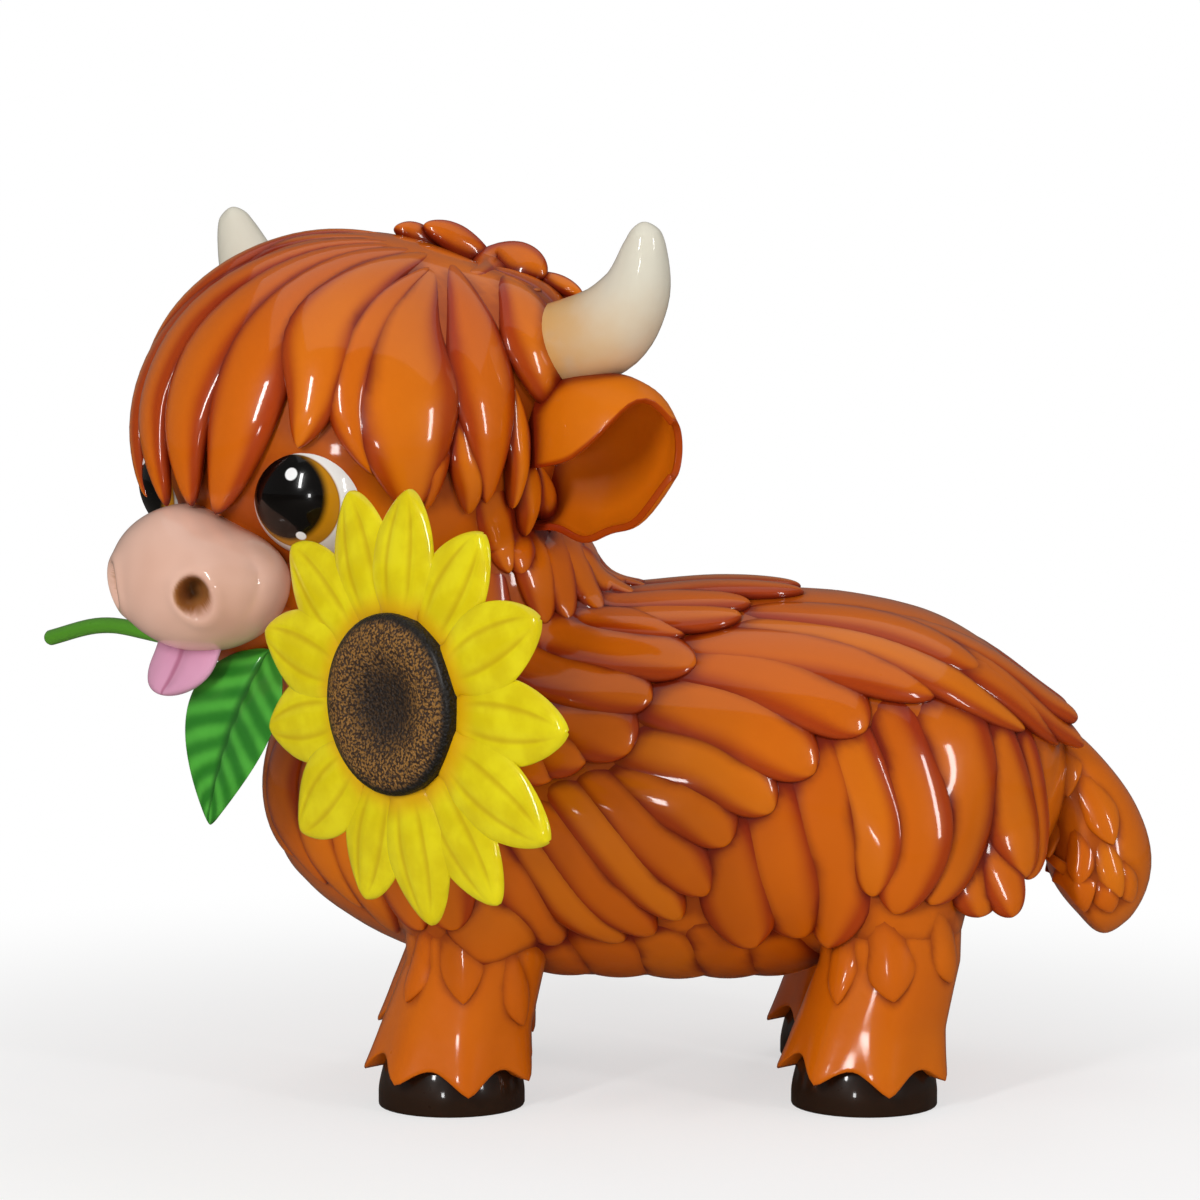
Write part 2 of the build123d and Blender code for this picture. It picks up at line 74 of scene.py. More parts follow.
# A unit sphere made once for each fineness, around and along; copies of its mesh are reshaped
def sphereMesh(fineness):
    if fineness not in sphereStock:
        around, along = fineness
        bpy.ops.mesh.primitive_uv_sphere_add(segments=around, ring_count=along, radius=1.0)
        made = bpy.context.object
        sphereStock[fineness] = made.data.copy()
        bpy.data.objects.remove(made)
    return sphereStock[fineness]


def newObject(name, data):
    made = bpy.data.objects.new(name, data)
    bpy.context.collection.objects.link(made)
    return made


def setAttribute(mesh, name, values):
    if name not in mesh.attributes:
        mesh.attributes.new(name, "FLOAT", "POINT")
    mesh.attributes[name].data.foreach_set("value", np.asarray(values, dtype=np.float32))


# Smooth skin under the locks, which takes less of the dark airbrush and painted crease shade
def markBare(piece):
    count = len(piece.data.vertices)
    for name, value in (("bare", 1.0), ("along", 0.6), ("across", 0.0), ("tone", plainTone)):
        setAttribute(piece.data, name, np.full(count, value))


# Sphere reshaped by shape(along, across, up): along runs 0 to 1, across and up lie on a unit circle
def formed(name, fineness, shape, tone=plainTone, place=None):
    mesh = sphereMesh(fineness).copy()
    count = len(mesh.vertices)
    points = np.empty(count * 3, dtype=np.float64)
    mesh.vertices.foreach_get("co", points)
    points = points.reshape(-1, 3)
    u = np.clip((1 - points[:, 2]) / 2, 0, 1)
    ring = np.hypot(points[:, 0], points[:, 1])
    safe = np.where(ring < poleWidth, 1.0, ring)
    across = np.where(ring < poleWidth, 0.0, points[:, 0] / safe)
    up = np.where(ring < poleWidth, 0.0, points[:, 1] / safe)
    moved = shape(u, across, up)
    if place is not None:
        moved = place(moved)
    moved = (moved + ground) * mm
    mesh.vertices.foreach_set("co", moved.ravel())
    setAttribute(mesh, "along", u)
    setAttribute(mesh, "across", across)
    setAttribute(mesh, "tone", np.full(count, tone))
    mesh.polygons.foreach_set("use_smooth", np.ones(len(mesh.polygons), dtype=bool))
    mesh.update()
    return newObject(name, mesh)


# Width of a closed form along its length: 1 with rounded ends of the given lengths
def rounded(u, start, end, point=0.5):
    head = np.sqrt(np.clip(1 - np.clip((start - u) / start, 0, 1) ** 2, 0, 1))
    tail = np.clip(1 - np.clip((u - 1 + end) / end, 0, 1) ** 2, 0, 1) ** point
    return head * tail


def smooth(u, low, high):
    t = np.clip((u - low) / (high - low), 0, 1)
    return t * t * (3 - 2 * t)


# Width of a ball from pole to pole; a higher power makes it boxier
def ballWidth(u, power=2):
    return np.sqrt(np.clip(1 - (2 * u - 1) ** power, 0, 1))


# Smooth curve through given points, at shares of its length
def curveThrough(points, u):
    points = np.asarray(points, dtype=float)
    last = len(points) - 1
    spot = np.clip(np.asarray(u, dtype=float), 0, 1) * last
    k = np.minimum(spot.astype(int), last - 1)
    t = spot - k
    slopes = np.gradient(points, axis=0)
    t = t[:, None] if points.ndim > 1 else t
    a, b = points[k], points[k + 1]
    return (a * (1 + 2 * t) * (1 - t) ** 2 + b * t * t * (3 - 2 * t)
            + slopes[k] * t * (1 - t) ** 2 - slopes[k + 1] * t * t * (1 - t))


# Smooth curve through values at uneven places
def bentThrough(places, values, at):
    slopes = np.gradient(values, places)
    k = np.clip(np.searchsorted(places, at, side="right") - 1, 0, len(places) - 2)
    span = places[k + 1] - places[k]
    t = (at - places[k]) / span
    return (values[k] * (1 + 2 * t) * (1 - t) ** 2 + values[k + 1] * t * t * (3 - 2 * t)
            + span * (slopes[k] * t * (1 - t) ** 2 - slopes[k + 1] * t * t * (1 - t)))


def unit(vectors):
    return vectors / np.maximum(np.linalg.norm(vectors, axis=-1, keepdims=True), 1e-9)


# Side and outward directions square to a path
def framesOf(points, outs):
    ahead = unit(np.gradient(points, axis=0))
    side = unit(np.cross(ahead, outs))
    return side, np.cross(side, ahead)


# Rows of three values, read at shares of their length
def readAt(rows, steps, u):
    return np.stack([np.interp(u, steps, rows[:, c]) for c in range(3)], axis=-1)


# Lock of hair: half thickness, height of its middle over the skin at the tip and depth under it at the root,
# share of the length that the tip takes and how pointed it is, width and thickness of the root against the
# rest, tilt, radius of the bend across, where along the length it comes up, and how dark its edges are
bodyLock = {"thick": 10.0, "lift": 1.5, "sink": 12.0, "tip": 0.38, "rootWidth": 0.75, "tilt": 0.35,
            "flat": 0.8, "point": 0.7, "bend": 260.0, "widen": 1.3, "emerge": (0.0, 0.75), "rootThick": 0.7,
            "facing": 0.0, "edge": 1.0, "rootSides": 0.0, "free": True, "bare": 0.0}
# The same for all locks, in shares of the length: the rounded root, where a lock spreads and thickens and
# where its sides come up; and the length of the tip in thickness against that in width
lockForm = {"root": 0.3, "spread": (0.05, 0.55), "thicken": (0.1, 0.8), "sidesUp": (0.35, 0.9),
            "tipThick": 0.6, "mesh": (28, 40)}
lockSteps = np.linspace(0, 1, 41)
tubeSteps = np.linspace(0, 1, 61)


# One lock of hair: trace(u) gives points of the skin and outward normals along the lock
def lockOn(trace, width, look, place=None, side=1):
    thick, sink, tip = look["thick"], look["sink"], look["tip"]
    rootWidth, rootThick = look["rootWidth"], look["rootThick"]
    points, outs = trace(lockSteps)
    sides, outs = framesOf(points, outs)

    def shape(u, across, up):
        full = rounded(u, lockForm["root"], tip, look["point"])
        wide = full * (rootWidth + (1 - rootWidth) * smooth(u, *lockForm["spread"]))
        wide = wide * width * look["widen"] / 2
        high = rounded(u, lockForm["root"], tip * lockForm["tipThick"]) * thick
        high = high * (rootThick + (1 - rootThick) * smooth(u, *lockForm["thicken"]))
        level = -sink + (sink + look["lift"]) * smooth(u, *look["emerge"])
        level = level + look["tilt"] * thick * across * side * full
        level = level - (across * wide) ** 2 / (2 * look["bend"])
        level = level - look["rootSides"] * across ** 2 * (1 - smooth(u, *lockForm["sidesUp"]))
        crown = np.sign(up) * np.abs(up) ** look["flat"]
        shift = readAt(sides, lockSteps, u) * (across * wide)[:, None]
        lifted = readAt(outs, lockSteps, u) * (level + crown * high)[:, None]
        return readAt(points, lockSteps, u) + shift + lifted

    piece = formed("lock", lockForm["mesh"], shape, picker.random(), place)
    edges = np.empty(len(piece.data.vertices))
    piece.data.attributes["across"].data.foreach_get("value", edges)
    setAttribute(piece.data, "across", edges * look["edge"])
    setAttribute(piece.data, "bare", np.full(len(edges), look["bare"]))
    return piece


# Tube along a path with a radius at each point
def tubeOn(name, path, radii, fineness, ends, place=None, square=(0.0, -1.0, 0.0)):
    points = curveThrough(path, tubeSteps)
    radius = curveThrough(np.asarray(radii, dtype=float)[:, None], tubeSteps)[:, 0]
    side, outs = framesOf(points, np.tile(np.array(square), (len(tubeSteps), 1)))

    def shape(u, across, up):
        r = np.interp(u, tubeSteps, radius) * rounded(u, *ends)
        beside = readAt(side, tubeSteps, u) * (across * r)[:, None]
        return readAt(points, tubeSteps, u) + beside + readAt(outs, tubeSteps, u) * (up * r)[:, None]

    return formed(name, fineness, shape, place=place)


def choose(*pieces):
    bpy.ops.object.select_all(action="DESELECT")
    for piece in pieces:
        piece.select_set(True)
    bpy.context.view_layer.objects.active = pieces[0]


# One mesh operator on all of the active piece
def onMesh(operator, **settings):
    bpy.ops.object.mode_set(mode="EDIT")
    bpy.ops.mesh.select_all(action="SELECT")
    operator(**settings)
    bpy.ops.object.mode_set(mode="OBJECT")


def applied(piece, kind, **settings):
    choose(piece)
    modifier = piece.modifiers.new(kind, kind)
    for name, value in settings.items():
        setattr(modifier, name, value)
    bpy.ops.object.modifier_apply(modifier=modifier.name)
    piece.select_set(False)
    return piece


def joined(name, pieces):
    choose(*pieces)
    if len(pieces) > 1:
        bpy.ops.object.join()
    whole = bpy.context.view_layer.objects.active
    whole.name = name
    whole.data.name = name
    onMesh(bpy.ops.mesh.normals_make_consistent, inside=False)
    whole.select_set(False)
    return whole


dressed = []


def finishPiece(piece, slotName, paint, *nodes):
    piece.data.materials.clear()
    piece.data.materials.append(paint)
    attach(piece, "root")
    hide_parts(*nodes)
    dressed.append(piece)


# The piece that stands for a node, joined from its forms
def dress(node, forms, slotName, paint):
    finishPiece(joined(f"{node}_look", forms), slotName, paint, node)


# The photo's camera, which also places the locks: eye over the ground, aim, and focal length in pixels
view = {"back": 4200.0, "height": 863.0, "aimHeight": 486.0, "focal": 4200.0, "middle": 600.0}
nearTries = 3


# Line of sight through a pixel of the photo, in the statue's millimetres
def sight(pixel):
    tilt = math.atan2(view["height"] - view["aimHeight"], view["back"])
    right = (pixel[0] - view["middle"]) / view["focal"]
    rise = (view["middle"] - pixel[1]) / view["focal"]
    eyePoint = np.array([0.0, -view["back"], view["height"]])
    way = np.array([right, math.cos(tilt) + rise * math.sin(tilt), rise * math.cos(tilt) - math.sin(tilt)])
    return eyePoint, way / np.linalg.norm(way)


# Form to cast on; flip -1 mirrors it in the middle plane
def treeOf(piece, flip=1):
    mesh = piece.data
    middle = ground[1] * mm
    corners = [Vector((v.co.x, middle + flip * (v.co.y - middle), v.co.z)) for v in mesh.vertices]
    return BVHTree.FromPolygons(corners, [tuple(p.vertices)[::flip] for p in mesh.polygons])


# Point and outward direction where a line of sight first meets one of the forms, or comes nearest to the
# first one; a free point stays on the line of sight there
def meet(trees, pixel, free=False):
    eyePoint, way = sight(pixel)
    start = Vector((eyePoint + ground) * mm)
    way = Vector(way)
    hits = [hit for hit in (tree.ray_cast(start, way) for tree in trees) if hit[0] is not None]
    if hits:
        found, normal, index, distance = min(hits, key=lambda hit: hit[3])
    else:
        beside = start + way * (view["back"] * mm)
        for turn in range(nearTries):
            found, normal, index, distance = trees[0].find_nearest(beside)
            beside = start + way * (found - start).dot(way)
        found = beside if free else found
    return np.array(found) / mm - ground, np.array(normal)


# Values averaged along a way, each with its neighbours within reach
def evened(values, reach=6):
    before, after = (np.repeat(end, reach, axis=0) for end in (values[:1], values[-1:]))
    padded = np.concatenate([before, values, after])
    window = np.hanning(2 * reach + 3)[1:-1]
    window = window / window.sum()
    return np.stack([np.convolve(padded[:, c], window, mode="valid") for c in range(3)], axis=-1)


# From where a form turns away from the viewer, a lock hangs straight on in front of it
def hung(met, pixels, facing):
    steady = [k for k, (point, out) in enumerate(met) if -out @ sight(pixels[k])[1] >= facing]
    last = steady[-1] if steady else len(met) - 1
    for k in range(last + 1, len(met)):
        eyePoint, way = sight(pixels[k])
        met[k] = (eyePoint + way * np.linalg.norm(met[last][0] - eyePoint), met[last][1])
    return met


# Way of a lock over forms through pixels of the photo; flip -1 mirrors it, shift moves it in Y
def photoTrace(trees, pixels, flip=1, shift=0.0, facing=0.0, free=False):
    def trace(u):
        way = curveThrough(pixels, u)
        met = [meet(trees, pixel, free) for pixel in way]
        if facing:
            met = hung(met, way, facing)
        points = evened(np.array([point for point, out in met]))
        outs = unit(evened(np.array([out for point, out in met])))
        turned = np.array([1.0, flip, 1.0])
        return points * turned + np.array([0.0, shift, 0.0]), outs * turned

    return trace


# Torso and neck

torso = {
    "front": -335.0, "length": 813.0, "level": 304.5, "halfHeight": 196.5, "halfWidth": 208.0,
    # place along, rise of the axis, half height, half width
    "stations": [
        (0.0, 0.03, 0.04, 0.04), (0.016, 0.02, 0.33, 0.32), (0.05, 0.01, 0.53, 0.52),
        (0.105, 0.01, 0.71, 0.71), (0.19, 0.01, 0.88, 0.885), (0.315, 0.005, 0.98, 0.975),
        (0.475, 0.0, 1.0, 1.0), (0.62, 0.005, 0.99, 0.99), (0.745, 0.03, 0.92, 0.935),
        (0.845, 0.06, 0.765, 0.8), (0.915, 0.06, 0.565, 0.6), (0.97, 0.04, 0.34, 0.355),
        (1.0, 0.03, 0.04, 0.04)],
    "mesh": (64, 72), "cell": 9.0, "softening": 14, "softness": 0.5,
}
neck = {"x": -157.0, "halfLength": 165.0, "halfWidth": 150.0, "foot": 330.0, "top": 602.0, "lean": 10.0,
        "ends": (0.3, 0.1), "mesh": (48, 24)}

leg = {"top": 262.0, "radius": 68.5, "lean": -25.0,
       # share of the top, share of the lean, share of the radius
       "sections": [(1.0, 0.0, 1.06), (0.75, 0.0, 1.02), (0.55, 0.0, 1.0), (0.3, 0.75, 1.06),
                    (0.15, 1.0, 1.14)],
       "frontX": -121.0, "rearX": 285.0, "sideY": 125.0, "ends": (0.05, 0.001), "mesh": (84, 64)}
# Thighs cover the tops of the legs
thigh = {"heights": (330.0, 290.0, 250.0, 215.0, 180.0, 145.0), "over": 10.0,
         "shares": (0.0, 0.8, 1.0, 0.9, 0.4, -0.6), "ends": (0.2, 0.05), "mesh": (40, 30)}

# Locks of the seen side: pixels from root to tip, and width in millimetres
shoulderLocks = [
    (((596, 545), (615, 588), (710, 590), (812, 594)), 56.0),
    (((580, 540), (600, 594), (680, 602), (757, 606)), 56.0),
    (((566, 545), (590, 604), (670, 617), (748, 618)), 52.0),
    (((552, 560), (575, 608), (630, 623), (690, 637)), 46.0),
    (((505, 560), (548, 622), (626, 648), (703, 668)), 66.0),
    (((484, 596), (532, 655), (598, 682), (657, 703)), 62.0),
    (((484, 640), (538, 694), (594, 722), (633, 756)), 66.0),
    (((480, 680), (524, 722), (560, 746), (590, 763)), 54.0),
    (((472, 700), (508, 738), (536, 762), (549, 785)), 48.0),
]
flankLocks = [
    (((640, 588), (800, 592), (960, 640), (1040, 700), (1080, 722)), 46.0),
    (((640, 592), (780, 598), (940, 640), (1030, 705), (1088, 752)), 50.0),
    (((640, 596), (780, 604), (920, 640), (1010, 695), (1062, 748)), 50.0),
    (((640, 600), (770, 606), (900, 632), (1006, 690)), 52.0),
    (((640, 612), (760, 622), (900, 655), (1034, 737)), 54.0),
    (((600, 622), (700, 638), (840, 660), (944, 699)), 60.0),
    (((580, 625), (690, 650), (800, 682), (871, 737)), 76.0),
    (((560, 660), (660, 690), (750, 724), (820, 778)), 72.0),
    (((540, 700), (640, 738), (715, 760), (778, 816)), 66.0),
    (((560, 725), (630, 765), (690, 796), (731, 849)), 62.0),
    (((545, 725), (600, 775), (660, 838), (712, 898)), 56.0),
    (((525, 735), (570, 785), (630, 856), (685, 923)), 52.0),
    (((505, 750), (545, 805), (600, 882), (658, 937)), 52.0),
    (((480, 760), (520, 820), (570, 892), (628, 943)), 52.0),
    (((460, 780), (500, 840), (530, 895), (560, 946)), 56.0),
]
hangingLocks = [
    (((690, 780), (722, 850), (738, 905), (758, 951)), 58.0),
    (((735, 740), (766, 820), (782, 885), (806, 941)), 66.0),
    (((790, 700), (816, 780), (833, 870), (829, 955)), 72.0),
    (((800, 660), (845, 750), (872, 830), (873, 902)), 50.0),
    (((850, 660), (888, 750), (912, 830), (893, 921)), 66.0),
    (((900, 620), (945, 720), (960, 815), (926, 912)), 74.0),
    (((960, 660), (990, 740), (1010, 820), (1023, 884)), 54.0),
    (((970, 760), (985, 830), (1000, 880), (1012, 921)), 42.0),
    (((960, 770), (975, 840), (975, 890), (978, 920)), 50.0),
    (((1000, 690), (1020, 760), (1026, 830), (1027, 884)), 44.0),
]
bellyLocks = [
    (((480, 850), (520, 905), (548, 945), (577, 977)), 80.0),
    (((530, 870), (575, 915), (605, 950), (632, 980)), 80.0),
    (((590, 880), (635, 925), (665, 955), (692, 982)), 80.0),
    (((650, 880), (695, 925), (722, 955), (748, 981)), 80.0),
    (((705, 890), (745, 925), (772, 955), (797, 978)), 80.0),
    (((440, 850), (470, 890), (500, 925), (530, 957)), 70.0),
]
chestLocks = [
    (((300, 640), (275, 700), (262, 780), (300, 862)), 46.0),
    (((320, 650), (292, 730), (284, 800), (332, 890)), 52.0),
    (((345, 660), (320, 750), (318, 830), (368, 912)), 54.0),
    (((380, 680), (355, 770), (355, 850), (400, 938)), 56.0),
    (((420, 700), (395, 790), (398, 870), (428, 934)), 58.0),
    (((460, 720), (440, 800), (440, 870), (458, 935)), 60.0),
    (((430, 620), (470, 670), (480, 740), (500, 830)), 70.0),
    (((400, 640), (430, 700), (445, 780), (470, 860)), 70.0),
]
# Short strands that fall from the head over the neck
neckLocks = [
    (((486, 470), (492, 505), (501, 545), (509, 576)), 30.0),
    (((504, 470), (510, 508), (517, 548), (523, 580)), 32.0),
    (((520, 462), (527, 510), (537, 575), (545, 630)), 40.0),
    (((540, 470), (549, 520), (558, 580), (568, 626)), 38.0),
    (((558, 490), (568, 535), (582, 585), (602, 618)), 36.0),
    (((558, 522), (576, 552), (598, 580), (640, 600)), 34.0),
    (((566, 540), (584, 562), (606, 580), (650, 590)), 30.0),
]
throatLocks = [
    (((300, 505), (292, 560), (288, 630), (296, 700)), 50.0),
    (((340, 505), (335, 570), (332, 640), (340, 715)), 50.0),
    (((385, 505), (382, 570), (384, 640), (392, 712)), 50.0),
    (((430, 505), (432, 570), (438, 640), (446, 705)), 50.0),
    (((470, 520), (476, 580), (484, 640), (492, 690)), 46.0),
]
hangingLock = dict(bodyLock, tilt=-0.3, facing=0.6, sink=3.0, rootThick=0.3, rootWidth=1.0)
bellyLock = dict(bodyLock, thick=6.0, tilt=0.0, sink=4.0, rootThick=0.1, rootSides=6.0, point=0.5, tip=0.34,
                 edge=0.6, free=False)
chestLock = dict(bodyLock, thick=9.0, tilt=0.1, free=False)
neckLock = dict(bodyLock, thick=7.0, sink=2.0, tip=0.5, tilt=0.0, point=0.8, rootWidth=0.9, widen=1.4,
                rootThick=0.1, free=False)
coatRows = [(shoulderLocks, bodyLock), (flankLocks, bodyLock), (hangingLocks, hangingLock),
            (bellyLocks, bellyLock), (chestLocks, chestLock), (throatLocks, neckLock), (neckLocks, neckLock)]


def stationAt(place):
    table = np.array(torso["stations"])
    place = np.clip(place, 0, 1)
    rise, high, wide = (bentThrough(table[:, 0], table[:, c], place) for c in (1, 2, 3))
    x = torso["front"] + torso["length"] * place
    z = torso["level"] + torso["halfHeight"] * rise
    return x, z, torso["halfHeight"] * high, torso["halfWidth"] * wide


def torsoShape(u, across, up):
    x, z, high, wide = stationAt(u)
    return np.stack([x, across * wide, z + up * high], axis=-1)


def neckShape(u, across, up):
    size = rounded(u, *neck["ends"])
    x = neck["x"] - neck["lean"] * (1 - u) ** 2 + neck["halfLength"] * across * size
    z = neck["top"] + (neck["foot"] - neck["top"]) * u
    return np.stack([x, neck["halfWidth"] * up * size, z], axis=-1)


# Torso, neck and thighs as one skin, soft where they meet
def makeSkin():
    forms = [formed("torso", torso["mesh"], torsoShape), formed("neck", neck["mesh"], neckShape)]
    for legX in (leg["frontX"], leg["rearX"]):
        for side in bothSides.values():
            path = [(legX, -side * leg["sideY"], height) for height in thigh["heights"]]
            radii = [leg["radius"] + thigh["over"] * share for share in thigh["shares"]]
            forms.append(tubeOn("thigh", path, radii, thigh["mesh"], thigh["ends"]))
    skin = joined("skin", forms)
    applied(skin, "REMESH", mode="VOXEL", voxel_size=torso["cell"] * mm, use_smooth_shade=True)
    applied(skin, "SMOOTH", factor=torso["softness"], iterations=torso["softening"])
    markBare(skin)
    return skin


# Half of a form, cut on the middle plane and closed there
def keepSide(piece, side):
    choose(piece)
    middle = (0, ground[1] * mm, 0)
    onMesh(bpy.ops.mesh.bisect, plane_co=middle, plane_no=(0, side, 0), use_fill=True, clear_outer=True)
    piece.select_set(False)
    return piece


def makeBodyHalf(skin, tree, skullTree, side):
    half = newObject("skin half", skin.data.copy())
    pieces = [keepSide(half, side)]
    for rows, look in coatRows:
        trees = [tree, skullTree] if rows is neckLocks else [tree]
        for pixels, width in rows:
            trace = photoTrace(trees, pixels, side, 0.0, look["facing"], look["free"])
            pieces.append(lockOn(trace, width, look, None, side))
    return pieces


# Legs and hooves

hem = {"ridge": 3.5, "ridgeRise": 2, "flare": 5.0, "flareRise": 6, "tips": 7, "first": 0.22, "hollow": 1.25,
       "low": 27.0, "high": 48.0, "wander": 7.0, "wanderFrom": 1.0, "share": 0.94, "tuck": 10.0}
legLocks = {
    "front": [(((440, 860), (455, 920), (461, 965), (464, 1008)), 58.0),
              (((434, 870), (426, 930), (416, 975), (407, 1005)), 46.0),
              (((504, 880), (511, 950), (517, 995), (522, 1028)), 46.0)],
    "rear": [(((850, 860), (846, 920), (840, 970), (838, 1008)), 46.0),
             (((880, 860), (884, 920), (890, 970), (894, 1005)), 62.0),
             (((926, 850), (938, 910), (946, 955), (950, 985)), 48.0)],
}
legLock = dict(bodyLock, thick=6.5, lift=1.0, sink=2.0, tip=0.7, tilt=0.0, rootWidth=1.2, point=1.0,
               bend=72.0, flat=1.0, widen=1.25, rootThick=0.02, emerge=(0.2, 0.9), edge=0.25,
               rootSides=12.0, bare=1.0)


def legLine(legX, side, height):
    table = np.array(leg["sections"])[::-1]
    share = np.asarray(height) / leg["top"]
    lean = np.interp(share, table[:, 0], table[:, 1])
    radius = np.interp(share, table[:, 0], table[:, 2]) * leg["radius"]
    across = np.full_like(share, -side * leg["sideY"])
    return np.stack([legX + leg["lean"] * lean, across, np.asarray(height)], axis=-1), radius


# Leg with a wavy hem of pointed tips over the hoof
def legShape(legX, side):
    def shape(u, across, up):
        angle = np.arctan2(up, across)
        wave = np.abs(np.sin((angle / 2 + hem["first"]) * hem["tips"])) ** hem["hollow"]
        edge = hem["low"] + (hem["high"] - hem["low"]) * wave
        edge = edge + hem["wander"] * np.sin(angle * 2 + hem["wanderFrom"])
        down = np.clip(u / hem["share"], 0, 1)
        inward = np.clip((u - hem["share"]) / (1 - hem["share"]), 0, 1)
        height = leg["top"] + (edge - leg["top"]) * down
        middle, radius = legLine(legX, side, height)
        swell = hem["flare"] * down ** hem["flareRise"] + hem["ridge"] * down ** hem["ridgeRise"]
        size = radius * rounded(u, *leg["ends"]) * (1 - inward) + swell * (1 - wave) * (1 - inward)
        lifted = np.stack([0 * u, 0 * u, hem["tuck"] * np.sqrt(inward)], axis=-1)
        return middle + lifted + np.stack([across * size, up * size, 0 * u], axis=-1)

    return shape


def makeLeg(end, side, skinTree):
    legX = leg[f"{end}X"]
    stock = formed("leg", leg["mesh"], legShape(legX, 1))
    tree = treeOf(stock)
    bpy.data.objects.remove(stock)
    pieces = [formed("leg", leg["mesh"], legShape(legX, side))]
    markBare(pieces[0])
    for pixels, width in legLocks[end]:
        for flip, shift in ((side, 0.0), (-side, -2 * side * leg["sideY"])):
            pieces.append(lockOn(photoTrace([tree, skinTree], pixels, flip, shift), width, legLock))
    return pieces


hoof = {"radius": 72.0, "height": 66.0, "mesh": (40, 36),
        # share of the radius, share of the height
        "profile": [(0.0, 1.0), (0.56, 1.0), (0.86, 0.76), (0.97, 0.42), (1.0, 0.16), (0.96, 0.0),
                    (0.0, 0.0)]}


def makeHoof(end, side):
    middleX, middleY = leg[f"{end}X"] + leg["lean"], -side * leg["sideY"]

    def shape(u, across, up):
        row = curveThrough(hoof["profile"], u)
        r = np.clip(row[:, 0], 0, 1) * hoof["radius"] * (u > 0) * (u < 1)
        z = np.clip(row[:, 1], 0, 1) * hoof["height"]
        return np.stack([middleX + across * r, middleY + up * r, z], axis=-1)

    return formed("hoof", hoof["mesh"], shape)


# Tail

tail = {"path": [(428.0, 0.0, 350.0), (464.0, 0.0, 318.0), (490.0, 0.0, 268.0), (498.0, 0.0, 224.0),
                 (484.0, 0.0, 198.0), (468.0, 0.0, 185.0)],
        "radius": 57.0, "shares": (0.52, 0.64, 0.88, 1.03, 1.05, 0.78), "ends": (0.08, 0.14),
        "mesh": (48, 60)}
tailLock = dict(legLock, thick=5.5, tip=0.65, rootWidth=1.1, point=0.95, bend=54.0)
tailLocks = [
    (((1104, 830), (1118, 858), (1127, 882), (1132, 903)), 38.0),
    (((1092, 850), (1101, 876), (1107, 896), (1111, 913)), 36.0),
    (((1056, 830), (1068, 862), (1078, 890), (1086, 913)), 38.0),
    (((1086, 800), (1100, 838), (1112, 872), (1121, 899)), 42.0),
    (((1062, 790), (1074, 828), (1080, 860), (1078, 889)), 38.0),
    (((1036, 770), (1042, 805), (1048, 835), (1050, 860)), 42.0),
    (((1064, 730), (1082, 772), (1100, 812), (1114, 848)), 46.0),
    (((1042, 715), (1050, 745), (1060, 772), (1069, 799)), 50.0),
]


def makeTail():
    radii = [tail["radius"] * share for share in tail["shares"]]
    pieces = [tubeOn("tail", tail["path"], radii, tail["mesh"], tail["ends"])]
    markBare(pieces[0])
    tree = treeOf(pieces[0])
    for pixels, width in tailLocks:
        for flip in bothSides.values():
            pieces.append(lockOn(photoTrace([tree], pixels, flip), width, tailLock))
    return pieces


# Head

head = {"middle": (-239.0, -20.0, 650.0), "yaw": 45.0, "roll": 1.5, "radius": 205.0, "crown": 205.0,
        "halfHeight": 185.0, "mesh": (96, 72)}
# Swelling under each horn: where it points, how far it rises, and its spread in degrees
brow = {"back": 78.0, "side": 152.0, "height": 108.0, "rise": 40.0, "spread": 19.0}
jaw = {"forward": 150.0, "below": 172.0, "radius": 46.0, "halfWidth": 74.0, "mesh": (40, 32)}
chin = {"forward": 108.0, "below": 136.0, "radius": 74.0, "halfWidth": 88.0, "mesh": (40, 32)}
# Fringe locks of the seen side: pixels from root to tip, width in millimetres, and how far the tip stands off
fringe = [
    (((400, 236), (300, 232), (225, 262), (165, 320), (134, 390)), 50.0, 10.0),
    (((410, 240), (300, 240), (215, 275), (156, 340), (143, 416), (171, 503)), 66.0, 16.0),
    (((420, 243), (310, 248), (210, 305), (172, 380), (172, 440), (194, 506)), 62.0, 24.0),
    (((430, 245), (320, 256), (232, 320), (198, 390), (196, 450), (208, 508)), 70.0, 14.0),
    (((435, 248), (345, 262), (270, 330), (248, 400), (235, 460), (221, 518)), 74.0, 6.0),
    (((438, 250), (375, 275), (322, 330), (318, 390), (298, 455)), 68.0, 4.0),
    (((436, 262), (390, 300), (352, 360), (348, 420), (376, 480)), 42.0, 0.0),
    (((440, 256), (405, 320), (400, 390), (406, 450), (409, 515)), 100.0, 6.0),
    (((445, 250), (468, 310), (481, 380), (484, 440), (480, 508)), 62.0, 4.0),
    (((420, 380), (428, 430), (428, 470), (424, 512)), 36.0, -3.0),
    (((455, 400), (462, 440), (468, 480), (466, 515)), 34.0, -3.0),
    (((508, 370), (514, 415), (513, 460), (506, 510)), 28.0, 2.0),
    (((520, 440), (524, 470), (523, 500), (516, 535)), 30.0, 3.0),
    (((538, 462), (541, 485), (540, 510), (534, 538)), 28.0, 3.0),
    (((490, 256), (520, 296), (534, 340), (542, 380), (546, 414)), 62.0, 5.0),
]
